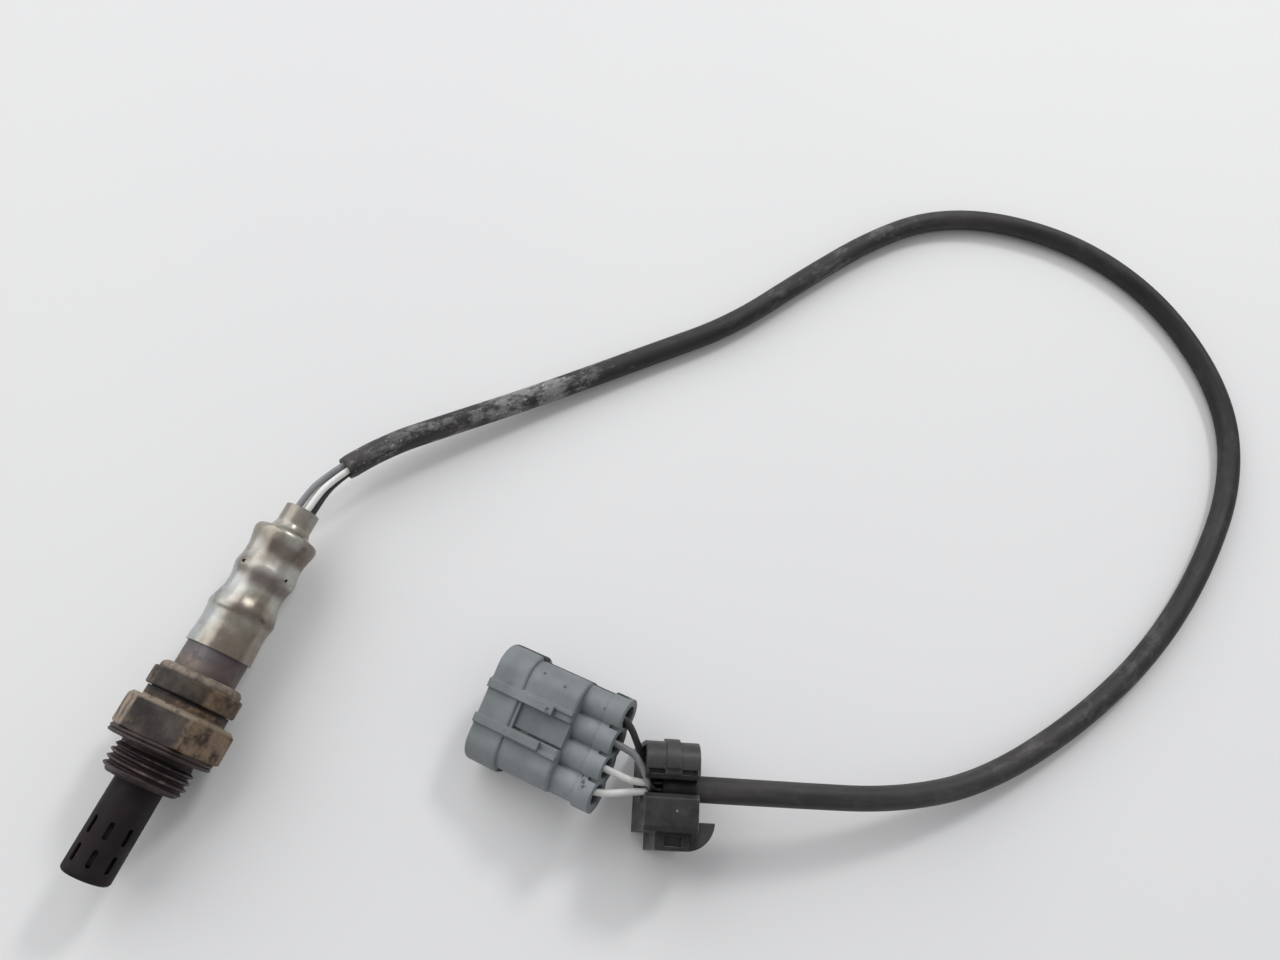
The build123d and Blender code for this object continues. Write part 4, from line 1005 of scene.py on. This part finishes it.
def plastic_finish(name, tones, dirt_tone, edge_tone, edge_share, shift):
    """Moulded plastic with faint mottling, handling dirt in patches and rubbed edges."""
    f = Finish(name)
    broad = f.noise(75, 4, 0.55, shift=shift)
    colour = f.ramp(broad, (0.32, 0.5, 0.68), tones)
    dirt = f.between(f.noise(330, 6, 0.7, shift=shift + 5), 0.56, 0.72)
    colour = f.tint(colour, dirt, 0.45, dirt_tone)
    edge, soft = f.edges(0.4)
    rubbed = f.times(edge, f.between(f.noise(500, 4, shift=shift + 3), 0.4, 0.6))
    colour = f.tint(colour, rubbed, edge_share, edge_tone)
    normal = f.bump(f.noise(1900, 3, 0.6, shift=shift + 1), 0.12, 0.03, soft)
    return f, colour, normal, edge


def connector_finish():
    """Grey nylon with a few dark nicks, and painted shade in the wire tubes, in the window and
    along its lower side.
    """
    f, colour, normal, _ = plastic_finish(
        "connector_plastic",
        tones=[(106, 111, 113), (119, 125, 128), (131, 137, 140)],
        dirt_tone=(92, 94, 96),
        edge_tone=(146, 149, 150),
        edge_share=0.3,
        shift=2.0,
    )
    across = f.reach(connector_origin, connector_width)
    above = f.reach(connector_origin, connector_up)
    depth = f.reach(connector_origin, connector_axis)
    # Painted shade: near-black on the inner wall of each wire tube, near its mouth.
    from_way = f.math("FLOORED_MODULO", across, pitch_across)
    from_way = f.math("SUBTRACT", from_way, pitch_across / 2)
    square = f.math("MULTIPLY_ADD", from_way, from_way, f.times(above, above))
    tube_shade = f.between(f.math("SQRT", square), seal_bore_radius + 0.25, seal_bore_radius)
    tube_shade = f.times(tube_shade, f.between(depth, connector_length, connector_length - 1.8))
    colour = f.blend(tube_shade, colour, (26, 26, 28))
    # Painted shade: darker towards the connector's lower side.
    low = f.between(above, 1.5, -5.5)
    colour = f.tint(colour, low, 0.35, (92, 91, 92))
    # Painted shade: darker on the floor of the latch window, under its rail.
    window_shade = f.times(
        f.between(above, window_floor + 0.5, window_floor + 0.2),
        f.between(above, window_floor - 0.6, window_floor - 0.3),
        f.between(f.math("ABSOLUTE", across), window_half_width + 0.2, window_half_width - 0.1),
    )
    colour = f.tint(colour, window_shade, 0.32, (84, 85, 88))
    nick_shape = f.between(f.noise(1100, 4, 0.75, (1, 1, 0.5), shift=11), 0.44, 0.54)
    for centre, radius in connector_nicks:
        colour = f.tint(colour, f.times(f.spot(centre, radius), nick_shape), 0.8, (40, 40, 42))
    rough = f.between(f.noise(260, 4, shift=10.0), 0.3, 0.7, 0.44, 0.6)
    return f.finish(colour, rough, normal, shine=0.4)


def clip_finish():
    """Black nylon, dusty in patches, with painted light on its jaw and hook, pale end edges that
    are worn and carry a painted highlight, and one pale fleck.
    """
    f, colour, normal, edge = plastic_finish(
        "clip_plastic",
        tones=[(10, 9, 10), (22, 21, 22), (44, 42, 43)],
        dirt_tone=(66, 64, 63),
        edge_tone=(132, 130, 130),
        edge_share=0.55,
        shift=31.0,
    )
    cloudy = f.between(f.noise(420, 5, 0.65, (1, 1, 0.5), shift=47), 0.42, 0.6)
    colour = f.tint(colour, cloudy, 0.4, (58, 56, 57))
    # Painted light: the jaw and the hook are made paler, as lit faces.
    jaw = f.between(f.reach(clip_centre, clip_across), 3.0, 6.0)
    colour = f.tint(colour, jaw, 0.26, (88, 88, 89))
    along = f.reach(clip_centre, clip_along)
    end = clip_half_width
    hook = f.between(along, end + 0.2, end + 2.5)
    colour = f.tint(colour, hook, 0.35, (92, 92, 93))
    # Pale edges round the clip's end: rubbed wear, with a painted highlight along them.
    rim = f.times(f.between(along, end - 0.8, end - 0.5), edge)
    rim = f.times(rim, f.between(along, end + 0.4, end + 0.1))
    rim = f.times(rim, f.between(f.noise(420, 4, 0.6, shift=44), 0.36, 0.5))
    colour = f.tint(colour, rim, 0.8, (150, 149, 149))
    colour = f.tint(colour, f.spot(clip_fleck, clip_fleck_radius, 0.2), 0.7, (150, 149, 148))
    rough = f.between(f.noise(260, 4, shift=39.0), 0.3, 0.7, 0.36, 0.52)
    return f.finish(colour, rough, normal, shine=0.4)


# ---- Finishes of the lead and of the pieces inside ----

# Painted shade: near-black for the sheath and wires where they lie inside the clip.
clip_shade_tone = (16, 15, 16)


def sheath_finish():
    """Black rubber with chalky scuffs that run along it, brown tints, fine pores, painted shading
    that lightens and darkens along its length, and painted shade inside the clip.
    """
    f = Finish("sheath_rubber", on_cord=True)
    length = 530.0
    along = f.axis("X")
    broad = f.noise(40, 4, 0.55, (1, 6, 6), shift=2)
    colour = f.ramp(broad, (0.32, 0.52, 0.7), ((34, 32, 34), (46, 44, 45), (62, 58, 57)))
    # Painted light and shade: the rubber is made lighter and darker stretch by stretch along its
    # length, as light falls on its bends.
    shading_places = (0.0, 0.14, 0.32, 0.56, 0.76, 0.88, 1.0)
    shading_levels = [grey(level) for level in (1.25, 0.85, 1.0, 0.5, 0.95, 1.3, 0.85)]
    painted_shading = f.ramp(f.math("DIVIDE", along, length), shading_places, shading_levels)
    colour = f.blend(1.0, colour, painted_shading, "MULTIPLY")
    near_sensor = f.times(f.between(along, 8, 32, 0.5, 1.0), f.between(along, 88, 56))
    first_bend = f.times(f.between(along, 118, 138), f.between(along, 196, 166))
    far_bend = f.times(f.between(along, 360, 390), f.between(along, 470, 430))
    zone = f.math("MAXIMUM", f.times(near_sensor, 0.68), f.times(first_bend, 0.2))
    zone = f.math("ADD", f.math("MAXIMUM", zone, f.times(far_bend, 0.1)), 0.06)
    chalk = f.times(f.between(along, 26, 40), f.between(along, 72, 58))
    chalk = f.math("MAXIMUM", chalk, f.between(along, 26, 12, 0.0, 0.7))
    low = f.math("MULTIPLY_ADD", chalk, -0.07, 0.49)
    patchy = f.noise(260, 7, 0.72, (0.55, 1, 1), shift=8)
    scuff = f.between(patchy, low, f.math("ADD", low, 0.17))
    scuff = f.math("MULTIPLY", scuff, zone, clamp=True)
    colour = f.blend(scuff, colour, (142, 141, 141))
    fleck = f.times(chalk, f.between(f.noise(1300, 3, 0.7, shift=5), 0.6, 0.68))
    fleck = f.times(fleck, f.between(patchy, 0.42, 0.52))
    colour = f.tint(colour, fleck, 0.8, (206, 205, 203))
    rust = f.between(f.noise(300, 6, 0.7, (0.5, 1, 1), shift=17), 0.58, 0.7)
    colour = f.tint(colour, f.times(first_bend, rust), 0.6, (112, 92, 80))
    streak = f.between(f.noise(380, 4, 0.6, (0.06, 1, 1), shift=4), 0.55, 0.75)
    colour = f.tint(colour, streak, 0.25, (96, 92, 92))
    # Painted shade inside the clip.
    colour = f.blend(f.in_clip(), colour, clip_shade_tone)
    rough = f.between(broad, 0.3, 0.7, 0.48, 0.66)
    height = f.math("MULTIPLY_ADD", scuff, 0.6, f.noise(1500, 4, 0.7, shift=3))
    normal = f.bump(height, 0.25, 0.06)
    return f.finish(colour, rough, normal, shine=0.35)


def wire_finish(name, low, high, dirt_tone, rough):
    """Insulation in two close tones, with smears of dirt that run along the wire, and painted shade
    inside the clip.
    """
    f = Finish(name, on_cord=True)
    tone = f.noise(180, 4, 0.6, (0.4, 1, 1), shift=6)
    dirt = f.between(f.noise(520, 5, 0.7, (0.4, 1, 1), shift=3), 0.55, 0.7)
    colour = f.tint(f.ramp(tone, (0.35, 0.65), (low, high)), dirt, 0.5, dirt_tone)
    # Painted shade inside the clip.
    colour = f.blend(f.in_clip(), colour, clip_shade_tone)
    gloss = f.between(tone, 0.3, 0.7, rough - 0.06, rough + 0.08)
    return f.finish(colour, gloss, f.bump(tone, 0.15, 0.03))


def plain_finish(name, low, high, rough, metallic=0.0):
    """For the pieces inside: two tones, an uneven gloss and a fine grain."""
    f = Finish(name, metallic=metallic)
    colour = f.ramp(f.noise(400, 5, 0.6, shift=1), (0.35, 0.65), (low, high))
    grain = f.noise(1600, 4, 0.65, shift=2)
    gloss = f.between(grain, 0.3, 0.7, rough - 0.08, rough + 0.1)
    return f.finish(colour, gloss, f.bump(grain, 0.25, 0.03))


wire_tones = {
    "wire_black": ((38, 36, 38), (56, 53, 55), (88, 84, 82), 0.42),
    "wire_grey": ((112, 113, 116), (136, 137, 140), (88, 86, 86), 0.4),
    "wire_white": ((214, 214, 210), (232, 232, 229), (176, 172, 166), 0.4),
}
plain_tones = {
    "retainer_plastic": ((150, 154, 156), (168, 171, 172), 0.5),
    "terminal_brass": ((176, 168, 150), (206, 200, 186), 0.34, 0.9),
    "seal_rubber": ((40, 38, 39), (56, 53, 54), 0.6),
    "grommet_rubber": ((34, 33, 34), (52, 50, 50), 0.62),
    "zirconia": ((226, 220, 208), (240, 236, 226), 0.5),
    "alumina": ((228, 226, 220), (242, 241, 237), 0.5),
    "talc": ((206, 204, 198), (226, 224, 218), 0.8),
    "spring_steel": ((160, 158, 154), (190, 188, 184), 0.32, 1.0),
    "contact_alloy": ((178, 172, 158), (206, 200, 188), 0.3, 1.0),
    "ptfe": ((228, 229, 229), (240, 240, 240), 0.45),
}
finishes = {
    "shell_steel": shell_finish(),
    "washer_steel": washer_finish(),
    "collar_steel": collar_finish(),
    "tube_steel": tube_finish(),
    "sleeve_steel": sleeve_finish(),
    "shield_steel": shield_finish(),
    "sheath_rubber": sheath_finish(),
    "connector_plastic": connector_finish(),
    "clip_plastic": clip_finish(),
}
for name, tones in wire_tones.items():
    finishes[name] = wire_finish(name, *tones)
for name, tones in plain_tones.items():
    finishes[name] = plain_finish(name, *tones)

slots = {row["node"]: row["material_slot"] for row in frame["record"]["subparts"]}
for name, piece in nodes.items():
    wear(piece, finishes[slots[name]])
for skin, slot in skins:
    wear(skin, finishes[slot])
wear(thread_skin, thread_finish())

# ---- Floor and light ----

floor_x, floor_y, floor_reach = -0.1, 0.1, 3.0
floor_corners = [
    (floor_x + floor_reach * east, floor_y + floor_reach * north, 0)
    for east, north in ((-1, -1), (1, -1), (1, 1), (-1, 1))
]
floor = add_object("floor", new_mesh("floor", floor_corners, [(0, 1, 2, 3)]))
floor_finish = Finish("floor")
floor_tone = floor_finish.noise(3, 3, 0.5)
floor_colour = floor_finish.ramp(floor_tone, (0.3, 0.7), ((226, 226, 227), (230, 230, 230)))
wear(floor, floor_finish.finish(floor_colour, 0.9))

# The sky brightens towards the top of the photo.
world = bpy.data.worlds.new("studio")
scene.world = world
world.use_nodes = True
sky = Nodes(world.node_tree)
view_direction = sky.add("ShaderNodeTexCoord").outputs["Generated"]
towards_top = sky.vector("DOT_PRODUCT", view_direction, (-0.74, -0.2, 0.64)).outputs["Value"]
sky_colours = (grey(0.4), (0.46, 0.465, 0.47, 1.0), (0.76, 0.77, 0.79, 1.0))
sky_colour = sky.ramp(towards_top, (0.0, 0.62, 1.0), sky_colours)
background = world.node_tree.nodes["Background"]
sky.put(background.inputs["Color"], sky_colour)
background.inputs["Strength"].default_value = 1.0


def lamp(name, place, aim, size, power):
    """Rectangular lamp at a place, turned to a point it aims at. Metres and watts."""
    data = bpy.data.lights.new(name, "AREA")
    data.shape = "RECTANGLE"
    data.size, data.size_y = size
    data.energy = power
    holder = add_object(name, data)
    holder.location = place
    holder.rotation_mode = "QUATERNION"
    holder.rotation_quaternion = (Vector(aim) - Vector(place)).to_track_quat("-Z", "Y")


middle = (-0.09, 0.10, 0.0)
lamp("key", (-0.7, -1.35, 1.25), middle, (2.4, 1.9), 26.5)
lamp("spark", (-1.15, 0.3, 0.95), middle, (0.24, 0.24), 5.6)
scene.view_settings.view_transform = "Standard"
